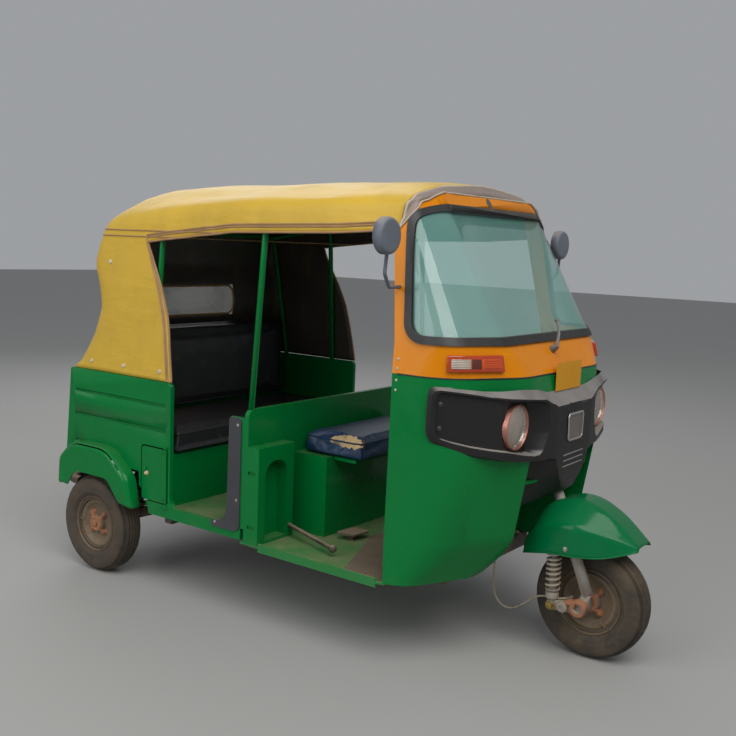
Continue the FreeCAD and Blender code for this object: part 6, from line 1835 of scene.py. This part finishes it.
class RICKSHAW_OT_studio(bpy.types.Operator):
    """Add the floor, the soft light and the camera"""

    bl_idname = "rickshaw.studio"
    bl_label = "Studio"

    def execute(self, context):
        studio = context.scene.rickshaw_studio
        bm = bmesh.new()
        bmesh.ops.create_grid(bm, x_segments=2, y_segments=2, size=30.0)
        floor = linked("floor", mesh_of("floor", bm))
        f = Finish("floor")
        floor.data.materials.append(f.close(f.tones(studio.floor, 0.97, 1.03, 0.7, 3.0), 0.75))

        world = bpy.data.worlds.new("studio")
        world.use_nodes = True
        sky = world.node_tree.nodes["Background"].inputs
        sky["Color"].default_value = (0.93, 0.96, 1.0, 1.0)
        sky["Strength"].default_value = studio.sky
        context.scene.world = world
        lamps = [
            ("key lamp", (3.4, -2.6, 5.8), 4.5, studio.key, (1.0, 0.985, 0.96)),
            ("side lamp", (-1.6, -5.4, 3.6), 4.5, studio.key * 0.5, (0.98, 0.99, 1.0)),
            ("rear lamp", (-4.6, 3.4, 4.6), 4.0, studio.key * 0.35, (1.0, 1.0, 1.0)),
        ]
        for name, spot, size, power, colour in lamps:
            light = bpy.data.lights.new(name, "AREA")
            light.size, light.energy, light.color = size, power, colour
            lamp = linked(name, light)
            lamp.location = spot
            lamp.rotation_euler = (Vector((0, 0, 0.8)) - Vector(spot)).to_track_quat("-Z", "Y").to_euler()

        yaw, pitch, roll = CAMERA_TURN
        ahead = Vector((-math.sin(yaw) * math.cos(pitch), math.cos(yaw) * math.cos(pitch), -math.sin(pitch)))
        level = Vector((math.cos(yaw), math.sin(yaw), 0.0))
        upward = level.cross(ahead)
        side = level * math.cos(roll) + upward * math.sin(roll)
        top = upward * math.cos(roll) - level * math.sin(roll)
        camera = linked("camera", bpy.data.cameras.new("camera"))
        camera.data.lens = studio.lens
        camera.data.sensor_width = 36.0
        camera.data.dof.use_dof = False
        made = Matrix((side, top, -ahead)).transposed().to_4x4()
        made.translation = CAMERA_AT
        camera.matrix_world = made
        context.scene.camera = camera
        context.scene.view_settings.view_transform = "Standard"
        return {"FINISHED"}


class RICKSHAW_PT_panel(bpy.types.Panel):
    """Lists the pieces and their settings."""

    bl_label = "Rickshaw"
    bl_idname = "RICKSHAW_PT_panel"
    bl_space_type = "VIEW_3D"
    bl_region_type = "UI"
    bl_category = "Rickshaw"

    def draw(self, context):
        for operator in OPERATORS:
            self.layout.operator(operator.bl_idname)
        for name, group in GROUPS.items():
            settings = getattr(context.scene, name)
            self.layout.label(text=group.__doc__)
            for key in group.__annotations__:
                self.layout.prop(settings, key)


GROUPS = {
    "rickshaw_paint": RICKSHAW_PG_paint,
    "rickshaw_cloth": RICKSHAW_PG_cloth,
    "rickshaw_tyres": RICKSHAW_PG_tyres,
    "rickshaw_seats": RICKSHAW_PG_seats,
    "rickshaw_studio": RICKSHAW_PG_studio,
}
OPERATORS = [
    RICKSHAW_OT_painted_nodes,
    RICKSHAW_OT_tyres,
    RICKSHAW_OT_rims,
    RICKSHAW_OT_leg,
    RICKSHAW_OT_canopy,
    RICKSHAW_OT_cushions,
    RICKSHAW_OT_nose,
    RICKSHAW_OT_headlamps,
    RICKSHAW_OT_indicators,
    RICKSHAW_OT_mudguard,
    RICKSHAW_OT_wiper,
    RICKSHAW_OT_cable,
    RICKSHAW_OT_trims,
    RICKSHAW_OT_studio,
]


def register():
    for item in [*GROUPS.values(), *OPERATORS, RICKSHAW_PT_panel]:
        bpy.utils.register_class(item)
    for name, group in GROUPS.items():
        setattr(bpy.types.Scene, name, PointerProperty(type=group))


def unregister():
    for name in GROUPS:
        delattr(bpy.types.Scene, name)
    for item in reversed([*GROUPS.values(), *OPERATORS, RICKSHAW_PT_panel]):
        bpy.utils.unregister_class(item)


def main():
    register()
    for operator in OPERATORS:
        group, name = operator.bl_idname.split(".")
        getattr(getattr(bpy.ops, group), name)()


if __name__ == "__main__":
    main()
